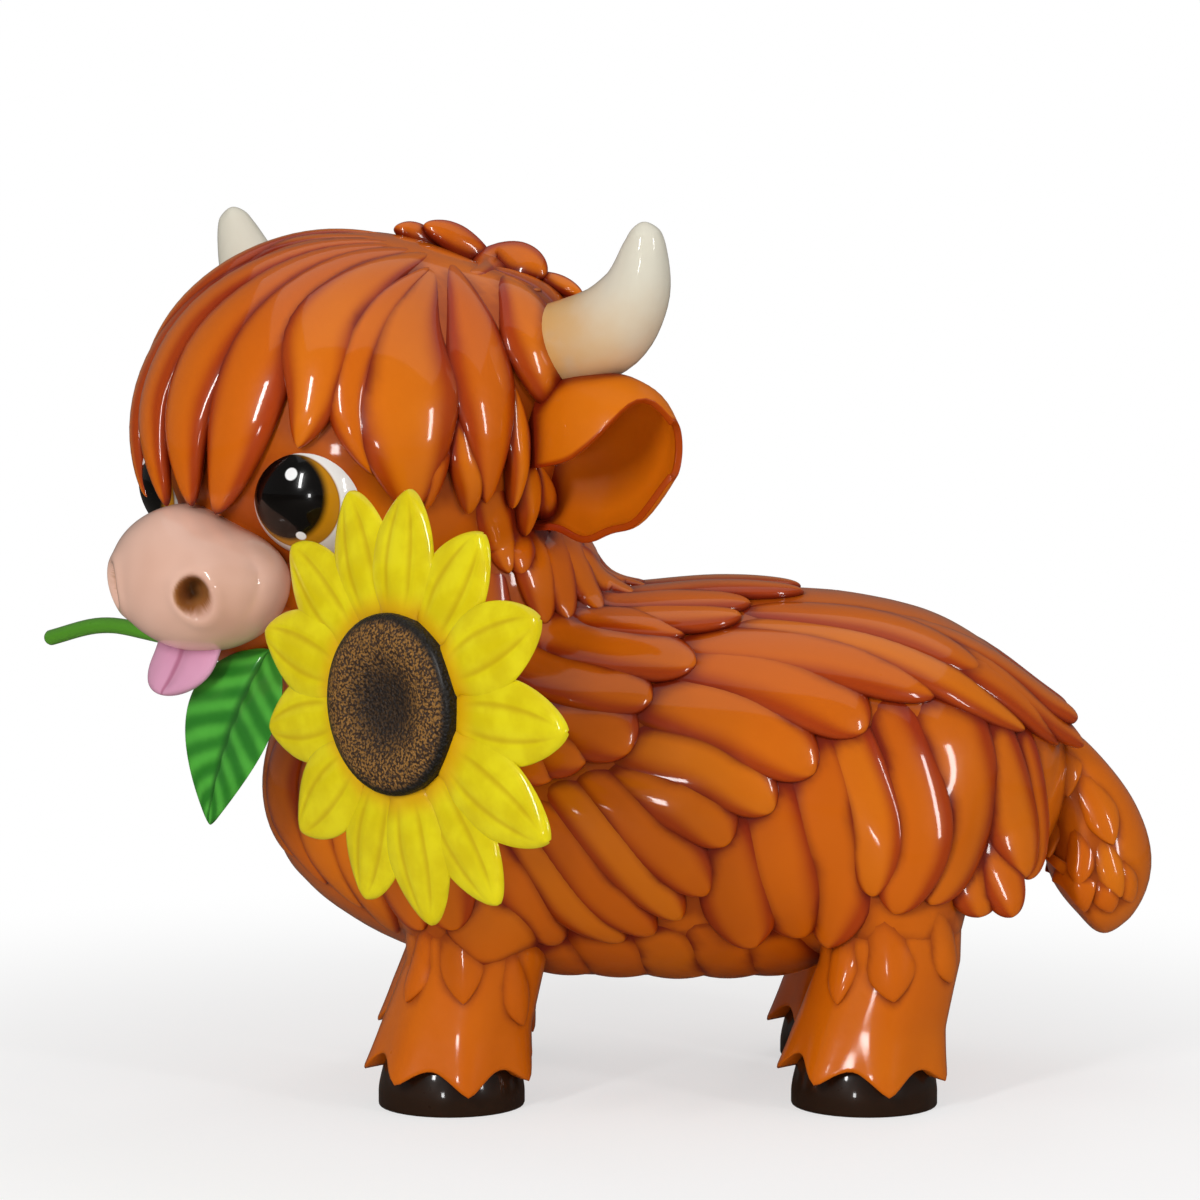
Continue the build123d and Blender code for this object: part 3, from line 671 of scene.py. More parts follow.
# Locks of the hidden side and the back: turn from the front to the left, and rise, in degrees
hiddenFringe = [
    (((180, 50), (178, 25), (176, 0), (174, -24)), 110.0),
    (((150, 55), (148, 28), (143, 4), (139, -20)), 105.0),
    (((-150, 55), (-148, 28), (-143, 4), (-139, -20)), 105.0),
    (((-165, 40), (-163, 18), (-160, -8), (-158, -28)), 100.0),
    (((165, 40), (163, 18), (160, -8), (158, -28)), 100.0),
    (((-120, 55), (-126, 32), (-130, 8), (-130, -14)), 100.0),
    (((120, 55), (126, 32), (130, 8), (130, -14)), 100.0),
    (((-94, 8), (-96, -12), (-97, -30), (-97, -46)), 70.0),
    (((-116, 4), (-118, -14), (-119, -32), (-119, -50)), 80.0),
    (((-138, 0), (-139, -20), (-140, -38), (-140, -54)), 85.0),
    (((-160, -4), (-160, -22), (-160, -40), (-160, -56)), 85.0),
    (((180, -4), (180, -22), (180, -40), (180, -56)), 85.0),
    (((160, -4), (160, -22), (160, -40), (160, -56)), 85.0),
    (((138, 0), (139, -20), (140, -38), (140, -54)), 80.0),
    (((-100, 60), (-88, 32), (-85, 6), (-81, -13)), 90.0),
    (((-83, 56), (-68, 32), (-64, 8), (-60, -12)), 95.0),
    (((-60, 60), (-52, 34), (-44, 8), (-32, -17)), 80.0),
]
fringeLock = dict(bodyLock, thick=13.0, lift=4.0, sink=3.0, tip=0.6, tilt=0.0, rootWidth=0.4, flat=0.9,
                  point=0.85, bend=200.0, widen=1.25)
tuftLock = dict(bodyLock, thick=9.0, lift=8.0, sink=2.0, tip=0.5, tilt=0.0, flat=1.0, point=0.75, widen=1.0)
# Tufts on the crown: pixels from root to tip, and width in millimetres
tufts = [
    (((496, 273), (472, 251), (446, 237), (420, 228)), 32.0),
    (((446, 248), (428, 240), (410, 235), (392, 233)), 24.0),
    (((470, 276), (498, 261), (526, 267), (546, 282)), 44.0),
    (((526, 276), (548, 281), (568, 292), (586, 302)), 20.0),
    (((532, 290), (552, 294), (569, 301), (585, 308)), 18.0),
]
# Their faces turn toward the viewer by this share
tuftFace = 0.75
toViewer = np.array([-0.2, -1.0, 0.2])


def headWay(turn, rise):
    turn, rise = np.radians(turn), np.radians(rise)
    return np.stack([-np.cos(rise) * np.cos(turn), -np.cos(rise) * np.sin(turn), np.sin(rise)], axis=-1)


# From the head's own frame to the statue's
def headPlace(points):
    roll, yaw = math.radians(head["roll"]), math.radians(head["yaw"])
    x, y, z = points[:, 0], points[:, 1], points[:, 2]
    y, z = y * math.cos(roll) - z * math.sin(roll), y * math.sin(roll) + z * math.cos(roll)
    x, y = x * math.cos(yaw) - y * math.sin(yaw), x * math.sin(yaw) + y * math.cos(yaw)
    return np.stack([x, y, z], axis=-1) + np.array(head["middle"])


def swelling(ways):
    total = np.zeros(len(ways))
    for side in (1, -1):
        peak = unit(np.array([brow["back"], -side * brow["side"], brow["height"]]))
        away = np.degrees(np.arccos(np.clip(ways @ peak, -1, 1)))
        total = total + brow["rise"] * np.exp(-(away / brow["spread"]) ** 2)
    return total[:, None]


def skullPoint(ways):
    tall = np.where(ways[:, 2] > 0, head["crown"], head["halfHeight"])
    size = np.stack([np.full(len(ways), head["radius"]), np.full(len(ways), head["radius"]), tall], axis=-1)
    reach = 1 / np.sqrt(((ways / size) ** 2).sum(axis=-1, keepdims=True))
    return ways * (reach + swelling(ways)), unit(ways / size ** 2)


def headTrace(turns):
    marks = headWay(*np.array(turns, dtype=float).T)

    def trace(u):
        return skullPoint(unit(curveThrough(marks, u)))

    return trace


# Trace whose tip stands up off the form, with its face turned toward the viewer
def liftedTrace(trace, lift, face=0.0):
    def raised(u):
        points, outs = trace(u)
        risen = points + outs * (lift * u * u)[:, None]
        return risen, unit(outs * (1 - face) + toViewer * face)

    return raised


# Egg that lies across the head
def eggShape(egg):
    def shape(u, across, up):
        size = ballWidth(u)
        x = -egg["forward"] - egg["radius"] * across * size
        z = -egg["below"] - egg["radius"] * up * size
        return np.stack([x, egg["halfWidth"] * (1 - 2 * u), z], axis=-1)

    return shape


def skullShape(u, across, up):
    size = ballWidth(u)
    tall = np.where(u < 0.5, head["crown"], head["halfHeight"])
    x, y = head["radius"] * across * size, head["radius"] * up * size
    points = np.stack([x, y, tall * (1 - 2 * u)], axis=-1)
    ways = unit(points)
    return points + ways * swelling(ways)


def makeSkull():
    return formed("skull", head["mesh"], skullShape, place=headPlace)


def makeHead():
    pieces = [makeSkull()]
    pieces += [formed("jaw", egg["mesh"], eggShape(egg), place=headPlace) for egg in (jaw, chin)]
    for piece in pieces:
        markBare(piece)
    trees = [treeOf(pieces[0])]
    for pixels, width, lift in fringe:
        pieces.append(lockOn(liftedTrace(photoTrace(trees, pixels), lift), width, fringeLock))
    for turns, width in hiddenFringe:
        pieces.append(lockOn(headTrace(turns), width, fringeLock, headPlace))
    for pixels, width in tufts:
        trace = photoTrace(trees, pixels, free=True)
        pieces.append(lockOn(liftedTrace(trace, 0.0, tuftFace), width, tuftLock))
    return pieces


# Muzzle and tongue

# The upper side falls by a share of its height toward the left end, over a range of shares of the half width
muzzle = {"forward": 205.0, "below": 127.0, "radius": 72.0, "halfWidth": 105.0, "fall": 0.23,
          "fallRange": (-0.35, 0.45), "mesh": (160, 160)}
# The rim, the hole and the painted edge are placed in shares of the radius
nostril = {"forward": 266.0, "side": 61.0, "below": 138.0, "radius": 17.0, "stretch": (0.6, 1.0, 0.8),
           "depth": 34.0, "hole": 0.9, "steep": 8, "rim": 2.5, "rimAt": 1.25, "rimWidth": 0.4,
           "painted": (0.92, 1.12), "paintDepth": 1.5}
muzzleMiddle = np.array([-muzzle["forward"], 0.0, -muzzle["below"]])


def nostrilSpot(side):
    return np.array([-nostril["forward"], side * nostril["side"], -nostril["below"]])


def muzzleShape(u, across, up):
    points = eggShape(muzzle)(u, across, up)
    end = points[:, 1] / muzzle["halfWidth"]
    fall = muzzle["fall"] * smooth(-end, *muzzle["fallRange"])
    points[:, 2] = points[:, 2] - np.maximum(points[:, 2] - muzzleMiddle[2], 0) * fall
    out = unit(points - muzzleMiddle)
    for side in (-1, 1):
        stretched = (points - nostrilSpot(side)) * np.array(nostril["stretch"])
        away = np.linalg.norm(stretched, axis=-1) / nostril["radius"]
        rim = nostril["rim"] * np.exp(-((away - nostril["rimAt"]) / nostril["rimWidth"]) ** 2)
        dent = rim - nostril["depth"] * np.exp(-(away / nostril["hole"]) ** nostril["steep"])
        points = points + out * dent[:, None]
    return points


# How much each vertex of the muzzle lies in a nostril
def markNostrils(piece):
    corners = np.array([v.co for v in piece.data.vertices])
    hole = np.zeros(len(corners))
    for side in (-1, 1):
        spot, middle = (headPlace(np.array([nostrilSpot(side), muzzleMiddle])) + ground) * mm
        out = unit(spot - middle)
        rise = (corners - spot) @ out
        away = np.linalg.norm(corners - spot - rise[:, None] * out, axis=-1) / (nostril["radius"] * mm)
        near = rise > -nostril["paintDepth"] * nostril["depth"] * mm
        hole = np.maximum(hole, (1 - smooth(away, *nostril["painted"])) * near)
    setAttribute(piece.data, "hole", hole)
    return piece


tongue = {"forward": 208.0, "top": -176.0, "drop": 68.0, "halfWidth": 46.0, "side": 4.0, "swerve": 24.0,
          "curl": 16.0, "ends": (0.2, 0.5), "thick": 11.0, "thickEnds": (0.1, 0.2), "groove": 4.0,
          "grooveWidth": 0.25, "grooveStart": (0.1, 0.4), "grooveEnd": (0.8, 1.0), "mesh": (64, 40)}


def tongueShape(u, across, up):
    wide = rounded(u, *tongue["ends"]) * tongue["halfWidth"]
    thick = rounded(u, *tongue["thickEnds"]) * tongue["thick"]
    groove = tongue["groove"] * np.exp(-(across / tongue["grooveWidth"]) ** 2)
    groove = groove * smooth(u, *tongue["grooveStart"]) * (1 - smooth(u, *tongue["grooveEnd"]))
    front = up * thick - np.where(up > 0, groove, 0)
    x = -tongue["forward"] - tongue["curl"] * u - front
    aside = tongue["side"] + tongue["swerve"] * u * u + across * wide
    return np.stack([x, aside, tongue["top"] - tongue["drop"] * u], axis=-1)


# Eyes

eye = {"forward": 131.0, "side": 86.0, "below": 42.0, "radius": 63.0, "mesh": (64, 48)}
# Painted discs of the seen eye: pixel of the middle, and size in degrees about the ball's middle; the two
# small white ones are painted highlights
eyeDiscs = {"iris": ((288, 505), 46.0), "pupil": ((280, 497), 42.0), "upperHighlight": ((291, 474), 5.6),
            "lowerHighlight": ((301, 536), 4.6)}


def eyeMiddle(side):
    return np.array([-eye["forward"], -side * eye["side"], -eye["below"]])


def makeEye(side):
    def shape(u, across, up):
        size = ballWidth(u)
        return eyeMiddle(side) + eye["radius"] * np.stack([across * size, up * size, 1 - 2 * u], axis=-1)

    return formed("eye", eye["mesh"], shape, place=headPlace)


# Horns

horn = {"path": [(150.0, 74.0, 94.0), (206.0, 87.0, 102.0), (250.0, 96.0, 118.0), (284.0, 98.0, 154.0),
                 (301.0, 92.0, 196.0), (305.0, 87.0, 222.0)],
        "radius": 45.0, "shares": (0.82, 0.96, 0.97, 0.76, 0.49, 0.25), "ends": (0.04, 0.1), "mesh": (40, 48),
        "square": (1.0, 0.0, 0.0)}


def makeHorn(side):
    path = [(back, -side * out, height) for out, back, height in horn["path"]]
    radii = [horn["radius"] * share for share in horn["shares"]]
    return tubeOn("horn", path, radii, horn["mesh"], horn["ends"], headPlace, horn["square"])


# Ears: a bowl whose upper front is folded over as a flap near the head

ear = {"side": 158.0, "back": 56.0, "height": 8.0, "length": 176.0, "swing": 18.0, "halfHeight": 78.0,
       "halfDepth": 46.0, "wall": 7.0, "bevel": 2.5, "bevelSteps": 3, "around": 40, "along": 32, "tone": 0.9,
       "ripple": 0.05, "ripples": 17.0, "rippleRange": (0.75, 1.0), "rimRange": (0.95, 1.0),
       "endRange": (0.97, 1.0),
       # place along, height, depth, drop, angles of the flap's lip and of the lower rim from the front
       "sections": [(0.0, 0.6, 0.5, 0.27, -10, -84), (0.18, 0.84, 0.72, 0.26, -6, -84),
                    (0.36, 0.955, 0.9, 0.19, -6, -86), (0.55, 1.0, 1.04, 0.17, 2, -86),
                    (0.75, 0.89, 1.0, 0.12, 28, -84), (0.9, 0.62, 0.8, 0.05, 70, -82),
                    (1.0, 0.33, 0.35, 0.05, 84, -82)]}


def makeEar(side):
    bpy.ops.mesh.primitive_grid_add(x_subdivisions=ear["along"], y_subdivisions=ear["around"], size=2.0)
    piece = bpy.context.object
    mesh = piece.data
    flat = np.empty(len(mesh.vertices) * 3)
    mesh.vertices.foreach_get("co", flat)
    flat = flat.reshape(-1, 3)
    t, s = (flat[:, 0] + 1) / 2, (flat[:, 1] + 1) / 2
    table = np.array(ear["sections"], dtype=float)
    high, deep, drop, lip, rim = (bentThrough(table[:, 0], column, t) for column in table.T[1:])
    angle = np.radians(lip + (360 + rim - lip) * s)
    ripple = 1 + ear["ripple"] * np.sin(t * ear["ripples"]) * smooth(s, *ear["rippleRange"])
    x = -ear["halfDepth"] * deep * np.cos(angle) * ripple
    y = -ear["length"] * t
    z = ear["halfHeight"] * (high * np.sin(angle) * ripple - drop)
    swing = math.radians(ear["swing"])
    back = x * math.cos(swing) - y * math.sin(swing) + ear["back"]
    out = x * math.sin(swing) + y * math.cos(swing) - ear["side"]
    points = (headPlace(np.stack([back, side * out, z + ear["height"]], axis=-1)) + ground) * mm
    mesh.vertices.foreach_set("co", points.ravel())
    setAttribute(mesh, "along", t)
    rimPaint = np.maximum(smooth(np.abs(s * 2 - 1), *ear["rimRange"]), smooth(t, *ear["endRange"]))
    setAttribute(mesh, "across", rimPaint)
    setAttribute(mesh, "dull", np.ones(len(t)))
    # The whole ear takes a lighter coat tone: painted light that brightens its shaded bowl
    setAttribute(mesh, "tone", np.full(len(t), ear["tone"]))
    mesh.update()
    if side < 0:
        onMesh(bpy.ops.mesh.flip_normals)
    applied(piece, "SOLIDIFY", thickness=ear["wall"] * mm, offset=0.0)
    applied(piece, "BEVEL", width=ear["bevel"] * mm, segments=ear["bevelSteps"], limit_method="ANGLE")
    choose(piece)
    bpy.ops.object.shade_smooth()
    piece.select_set(False)
    return piece


# Flower

flower = {"forward": 218.0, "side": 301.0, "level": -217.0}
petal = {"root": 70.0, "halfWidth": 41.0, "early": 0.9, "full": 0.62, "rootWidth": 0.62,
         "rootEnds": (0.05, 0.05), "thick": 5.5, "ends": (0.05, 0.08), "cup": 9.0, "lift": 3.0, "dome": 3.0,
         "domeStart": (0.1, 0.5), "groove": 1.6, "grooves": (-0.38, 0.38), "grooveWidth": 0.08,
         "grooveStart": (0.1, 0.3), "grooveEnd": (0.78, 0.97), "mesh": (48, 36)}
# Pixels of the petals' tips, clockwise from the top
petalTips = ((345, 491), (407, 489), (478, 534), (537, 619), (562, 733), (546, 842), (493, 906), (430, 926),
             (362, 900), (300, 832), (266, 728), (264, 630), (288, 545))
# Disc that carries the petals
petalDisc = {"radius": 96.0, "top": 1.0, "thick": 9.0, "edge": 4, "mesh": (48, 12)}
seed = {"radius": 84.0, "mesh": (64, 48),
        # share of the radius, height
        "profile": [(0.0, 13.0), (0.3, 15.0), (0.68, 22.0), (0.96, 15.84), (1.0, 6.6), (0.98, -2.0),
                    (0.0, -4.0)]}
stem = {"radius": 8.0, "forward": 168.0, "reach": 286.0, "endLevel": -217.0, "crestBack": 90.0,
        "crestRise": 1.0, "mouthSide": 105.0, "mouthLevel": -196.0, "bend": 46.0, "rodRadius": 3.5,
        "rodInset": 12.0, "ends": (0.012, 0.012), "mesh": (20, 64), "rodMesh": (12, 48),
        "square": (0.0, 0.0, 1.0)}
calyx = {"radius": 62.0, "neck": 17.0, "height": 22.0, "back": 10.0, "taper": (0.1, 0.9), "ends": (0.1, 0.1),
         "mesh": (40, 16)}
leaf = {"front": 170.0, "side": 66.0, "top": -194.0, "tipForward": 215.0, "tipSide": 31.0, "tipLevel": -364.0,
        "halfWidth": 61.0, "early": 0.72, "full": 0.85, "thick": 4.5, "ends": (0.06, 0.06), "bow": 14.0,
        "fold": 9.0, "ribs": 7.0, "ribSlant": 1.1, "ribHeight": 0.8, "vein": 2.5, "veinWidth": 0.08,
        "mesh": (64, 64)}


# From the flower's own frame, which faces +Z, to the statue's
def flowerPlace(points):
    x, y, z = points[:, 0], points[:, 1], points[:, 2]
    return headPlace(np.stack([-flower["forward"] - z, y - flower["side"], x + flower["level"]], axis=-1))


# Place in the flower's own plane that is seen at a pixel
def onFlower(pixel):
    eyePoint, way = sight(pixel)
    hub, up, across, out = flowerPlace(np.concatenate([np.zeros((1, 3)), np.eye(3)]))
    up, across, out = up - hub, across - hub, out - hub
    seen = eyePoint + way * (((hub - eyePoint) @ out) / (way @ out)) - hub
    return seen @ up, seen @ across


def makePetal(tipPixel, lift):
    rise, swerve = onFlower(tipPixel)
    turn = math.atan2(swerve, rise)
    length = math.hypot(rise, swerve) - petal["root"]

    def shape(u, across, up):
        body = np.clip(np.sin(np.pi * np.clip(u, 0, 1) ** petal["early"]), 0, 1) ** petal["full"]
        root = petal["rootWidth"] * rounded(u, *petal["rootEnds"])
        wide = petal["halfWidth"] * np.where(u < 0.5, np.maximum(body, root), body)
        y = across * wide
        grooves = sum(np.exp(-((across - c) / petal["grooveWidth"]) ** 2) for c in petal["grooves"])
        fade = smooth(u, *petal["grooveStart"]) * (1 - smooth(u, *petal["grooveEnd"]))
        edge = np.sqrt(np.clip(1 - across ** 2, 0, 1))
        z = up * petal["thick"] * rounded(u, *petal["ends"])
        z = z - np.where(up > 0, petal["groove"] * grooves * fade, 0)
        z = z + lift - petal["cup"] * u * u + petal["dome"] * edge * smooth(u, *petal["domeStart"])
        r = petal["root"] + length * u
        x = r * math.cos(turn) - y * math.sin(turn)
        return np.stack([x, r * math.sin(turn) + y * math.cos(turn), z], axis=-1)

    return formed("petal", petal["mesh"], shape, picker.random(), flowerPlace)


def makePetals():
    petals = [makePetal(tip, petal["lift"] * (k % 2)) for k, tip in enumerate(petalTips)]
    return petals + [formed("disc", petalDisc["mesh"], discShape, place=flowerPlace)]


def seedShape(u, across, up):
    row = curveThrough(seed["profile"], u)
    r = np.clip(row[:, 0], 0, 1) * seed["radius"] * (u > 0) * (u < 1)
    return np.stack([up * r, across * r, row[:, 1]], axis=-1)


def discShape(u, across, up):
    size = ballWidth(u, petalDisc["edge"]) * petalDisc["radius"]
    return np.stack([up * size, across * size, petalDisc["top"] - petalDisc["thick"] * u], axis=-1)


def calyxShape(u, across, up):
    r = calyx["radius"] + (calyx["neck"] - calyx["radius"]) * smooth(u, *calyx["taper"])
    r = r * rounded(u, *calyx["ends"])
    return np.stack([up * r, across * r, -calyx["back"] - calyx["height"] * u], axis=-1)


def stemPath():
    x, bend, level = -stem["forward"], stem["bend"], flower["level"]
    tip = (x, stem["reach"], stem["endLevel"])
    crest = (x, stem["reach"] - stem["crestBack"], stem["mouthLevel"] + stem["crestRise"])
    mouth = (x, stem["mouthSide"], stem["mouthLevel"])
    bendStart = (x, bend - flower["side"], level)
    centre = (x, (mouth[1] + bendStart[1]) / 2, (mouth[2] + bendStart[2]) / 2)
    halfTurn = math.pi / 4
    bendMiddle = (x - bend * (1 - math.cos(halfTurn)), bendStart[1] - bend * math.sin(halfTurn), level)
    hub = (x - bend, -flower["side"], level)
    return [tip, crest, mouth, centre, bendStart, bendMiddle, hub]


# The same way without its ends
def insetPath(path, inset):
    path = [np.array(point) for point in path]
    path[0] = path[0] + unit(path[1] - path[0]) * inset
    path[-1] = path[-1] + unit(path[-2] - path[-1]) * inset
    return path


# Stem, or the rod in it, along a path
def makeStem(name, path, radius, fineness):
    return tubeOn(name, path, [radius] * len(path), fineness, stem["ends"], headPlace, stem["square"])


def leafShape(u, across, up):
    base = np.array([-leaf["front"], -leaf["side"], leaf["top"]])
    tip = np.array([-leaf["tipForward"], -leaf["tipSide"], leaf["tipLevel"]])
    ahead = unit(tip - base)
    out = unit(np.array([-1.0, 0.0, 0.0]) - ahead * -ahead[0])
    side = np.cross(ahead, out)
    body = np.sin(np.pi * np.clip(u, 0, 1) ** leaf["early"]) ** leaf["full"]
    wide = leaf["halfWidth"] * body
    ribs = np.sin((u * leaf["ribs"] - np.abs(across) * leaf["ribSlant"]) * 2 * np.pi)
    ribs = ribs * leaf["ribHeight"] * (1 - np.abs(across)) * body
    vein = leaf["vein"] * np.exp(-(across / leaf["veinWidth"]) ** 2)
    z = up * leaf["thick"] * rounded(u, *leaf["ends"]) + leaf["fold"] * np.abs(across) * body
    z = z + 4 * leaf["bow"] * u * (1 - u) + np.where(up > 0, ribs - vein, 0)
    along = np.linalg.norm(tip - base) * u
    return base + ahead * along[:, None] + side * (across * wide)[:, None] + out * z[:, None]


# Shaders

class Wire:
    def __init__(self, tree, socket):
        self.tree = tree
        self.socket = socket

    def math(self, operation, other=0.0, swapped=False, clamp=False):
        made = self.tree.nodes.new("ShaderNodeMath")
        made.operation = operation
        made.use_clamp = clamp
        first, second = (other, self) if swapped else (self, other)
        feed(self.tree, made.inputs[0], first)
        feed(self.tree, made.inputs[1], second)
        return Wire(self.tree, made.outputs[0])

    def __add__(self, other):
        return self.math("ADD", other)

    def __sub__(self, other):
        return self.math("SUBTRACT", other)

    def __mul__(self, other):
        return self.math("MULTIPLY", other)

    def __truediv__(self, other):
        return self.math("DIVIDE", other)

    def __pow__(self, other):
        return self.math("POWER", other)

    def __radd__(self, other):
        return self.math("ADD", other, True)

    def __rsub__(self, other):
        return self.math("SUBTRACT", other, True)

    def __rmul__(self, other):
        return self.math("MULTIPLY", other, True)

    def __rtruediv__(self, other):
        return self.math("DIVIDE", other, True)


def feed(tree, socket, value):
    if isinstance(value, Wire):
        tree.links.new(value.socket, socket)
    else:
        socket.default_value = value


class Paint:
    def __init__(self, name):
        self.material = bpy.data.materials.new(name)
        self.material.use_nodes = True
        self.tree = self.material.node_tree
        self.shader = self.tree.nodes["Principled BSDF"]

    def node(self, kind, settings, sockets, output=0):
        made = self.tree.nodes.new(kind)
        for name, value in settings.items():
            setattr(made, name, value)
        for name, value in sockets.items():
            feed(self.tree, made.inputs[name], value)
        return Wire(self.tree, made.outputs[output])

    def attribute(self, name):
        return self.node("ShaderNodeAttribute", {"attribute_name": name}, {}, "Fac")

    def place(self):
        return self.node("ShaderNodeTexCoord", {}, {}, "Object")

    def noise(self, scale, detail=3.0):
        sockets = {"Vector": self.place(), "Scale": scale, "Detail": detail}
        return self.node("ShaderNodeTexNoise", {}, sockets, "Fac")

    def ramp(self, value, low, high):
        settings = {"interpolation_type": "SMOOTHSTEP"}
        return self.node("ShaderNodeMapRange", settings, {"Value": value, "From Min": low, "From Max": high})

    def mix(self, first, second, factor):
        return self.node("ShaderNodeMix", {"data_type": "RGBA"}, {0: factor, 6: first, 7: second}, 2)

    def bump(self, height, distance, strength=1.0):
        sockets = {"Height": height, "Distance": distance, "Strength": strength}
        return self.node("ShaderNodeBump", {}, sockets, "Normal")

    def finish(self, **sockets):
        for name, value in sockets.items():
            feed(self.tree, self.shader.inputs[name.replace("_", " ")], value)
        return self.material


def tint(red, green, blue):
    def linear(value):
        share = value / 255
        return share / 12.92 if share <= 0.04045 else ((share + 0.055) / 1.055) ** 2.4

    return (linear(red), linear(green), linear(blue), 1.0)


# Clear lacquer, which every painted piece but the seed head and the eyes has
gloss = {"Specular_IOR_Level": 0.1, "Coat_Weight": 0.8, "Coat_Roughness": 0.07, "Coat_IOR": 1.45}
# Coat colours: deep darkens each lock's sides, as airbrushed paint and painted shade, and its root as painted
# shade; the crease colour and line are painted shade in the creases, line in the deepest
coatColours = {"middle": tint(206, 99, 6), "light": tint(218, 116, 12), "deep": tint(158, 48, 5),
               "creaseShade": tint(122, 32, 8), "line": tint(76, 18, 6)}


def coatPaint():
    paint = Paint("coat_paint")
    creaseShade = paint.attribute("creaseShade")
    tone = paint.attribute("tone")
    across = paint.attribute("across")
    along = paint.attribute("along")
    cloud = paint.noise(9.0)
    lightness = paint.ramp(tone + (cloud - 0.5) * 0.8, 0.3, 1.1)
    base = paint.mix(coatColours["middle"], coatColours["light"], lightness)
    # Darker along each lock's sides: airbrushed paint together with painted shade where locks meet
    edges = paint.ramp(across * across + (cloud - 0.5) * 0.3, 0.08, 0.62)
    # Darker toward each lock's root: painted shade under the locks that overlap it
    rootShade = 1.0 - paint.ramp(along, 0.1, 0.6)
    base = paint.mix(base, coatColours["deep"], edges * 0.85 + rootShade * 0.25)
    # Painted shade in the creases, weaker on bare skin, with a darker painted shadow line in the deepest
    shadeAmount = 1.0 - paint.attribute("bare") * 0.4
    shade = paint.ramp(creaseShade + (cloud - 0.5) * 0.12, 0.05, 0.5)
    colour = paint.mix(base, coatColours["creaseShade"], shade * shadeAmount)
    colour = paint.mix(colour, coatColours["line"], paint.ramp(creaseShade, 0.46, 0.9) * shadeAmount)
    grain = paint.noise(60.0, 4.0)
    rough = 0.24 + grain * 0.14
    shine = gloss["Coat_Weight"] * (1.0 - paint.attribute("dull") * 0.85)
    return paint.finish(Base_Color=colour, **dict(gloss, Roughness=rough, Coat_Weight=shine),
                        Normal=paint.bump(paint.noise(28.0), 0.002, 0.45))


# Gloss over a colour, slightly uneven
def lacquered(paint, base, rough):
    uneven = rough + (paint.noise(70.0) - 0.5) * 0.12
    return paint.finish(Base_Color=base, **dict(gloss, Roughness=uneven),
                        Normal=paint.bump(paint.noise(50.0), 0.0004, 0.4))


hoofLook = {"low": tint(22, 13, 8), "high": tint(44, 28, 18), "cloudScale": 14.0}
stemLook = {"low": tint(44, 96, 20), "high": tint(84, 150, 40), "cloudScale": 30.0}


def plainPaint(name, look):
    paint = Paint(name)
    creaseShade = paint.attribute("creaseShade")
    cloud = paint.noise(look["cloudScale"])
    # Darker in random cloud and in painted crease shade
    base = paint.mix(look["high"], look["low"], paint.ramp(cloud * 0.7 + creaseShade * 0.9, 0.3, 1.0))
    return lacquered(paint, base, 0.3)


# The darkest colour fills the depth of each nostril as painted shade; the crease colour is painted shade
# elsewhere
muzzleColours = {"light": tint(233, 190, 170), "middle": tint(214, 166, 144), "rim": tint(168, 110, 58),
                 "hole": tint(46, 22, 8), "creaseShade": tint(150, 100, 76)}


def muzzlePaint():
    paint = Paint("muzzle_paint")
    creaseShade = paint.attribute("creaseShade")
    cloud = paint.noise(6.0)
    base = paint.mix(muzzleColours["light"], muzzleColours["middle"], paint.ramp(cloud, 0.35, 0.75))
    hole = paint.attribute("hole")
    base = paint.mix(base, muzzleColours["rim"], hole)
    # Deep in each nostril, painted shade over its painted rim colour
    base = paint.mix(base, muzzleColours["hole"], hole * paint.ramp(creaseShade, 0.35, 0.8))
    # Painted shade in the other creases
    base = paint.mix(base, muzzleColours["creaseShade"], (1.0 - hole) * paint.ramp(creaseShade, 0.35, 0.9))
    return lacquered(paint, base, 0.34)


tongueColours = {"light": tint(222, 160, 190), "middle": tint(198, 130, 162), "line": tint(176, 96, 128)}


def tonguePaint():
    paint = Paint("tongue_paint")
    cloud = paint.noise(10.0)
    # Darker in random cloud and in painted crease shade
    shade = paint.ramp(cloud * 0.7 + paint.attribute("creaseShade") * 0.9, 0.3, 1.0)
    base = paint.mix(tongueColours["light"], tongueColours["middle"], shade)
    line = 1.0 - paint.ramp(paint.attribute("across").math("ABSOLUTE"), 0.02, 0.13)
    base = paint.mix(base, tongueColours["line"], line * 0.7)
    return paint.finish(Base_Color=base, **dict(gloss, Roughness=0.3 + (cloud - 0.5) * 0.12))


hornColours = {"root": tint(214, 166, 100), "tip": tint(222, 217, 200), "cloud": tint(196, 182, 158)}


def hornPaint():
    paint = Paint("horn_paint")
    along = paint.attribute("along")
    cloud = paint.noise(22.0)
    tipShare = paint.ramp(along + (cloud - 0.5) * 0.2, 0.15, 0.75)
    base = paint.mix(hornColours["root"], hornColours["tip"], tipShare)
    base = paint.mix(base, hornColours["cloud"], paint.ramp(cloud, 0.55, 0.85) * 0.5)
    return paint.finish(Base_Color=base, **dict(gloss, Roughness=0.32 + cloud * 0.1),
                        Normal=paint.bump(paint.noise(28.0), 0.0012, 0.4))


petalColours = {"middle": tint(216, 195, 6), "light": tint(230, 215, 20), "root": tint(222, 150, 8),
                "line": tint(186, 142, 6), "creaseShade": tint(170, 120, 6)}


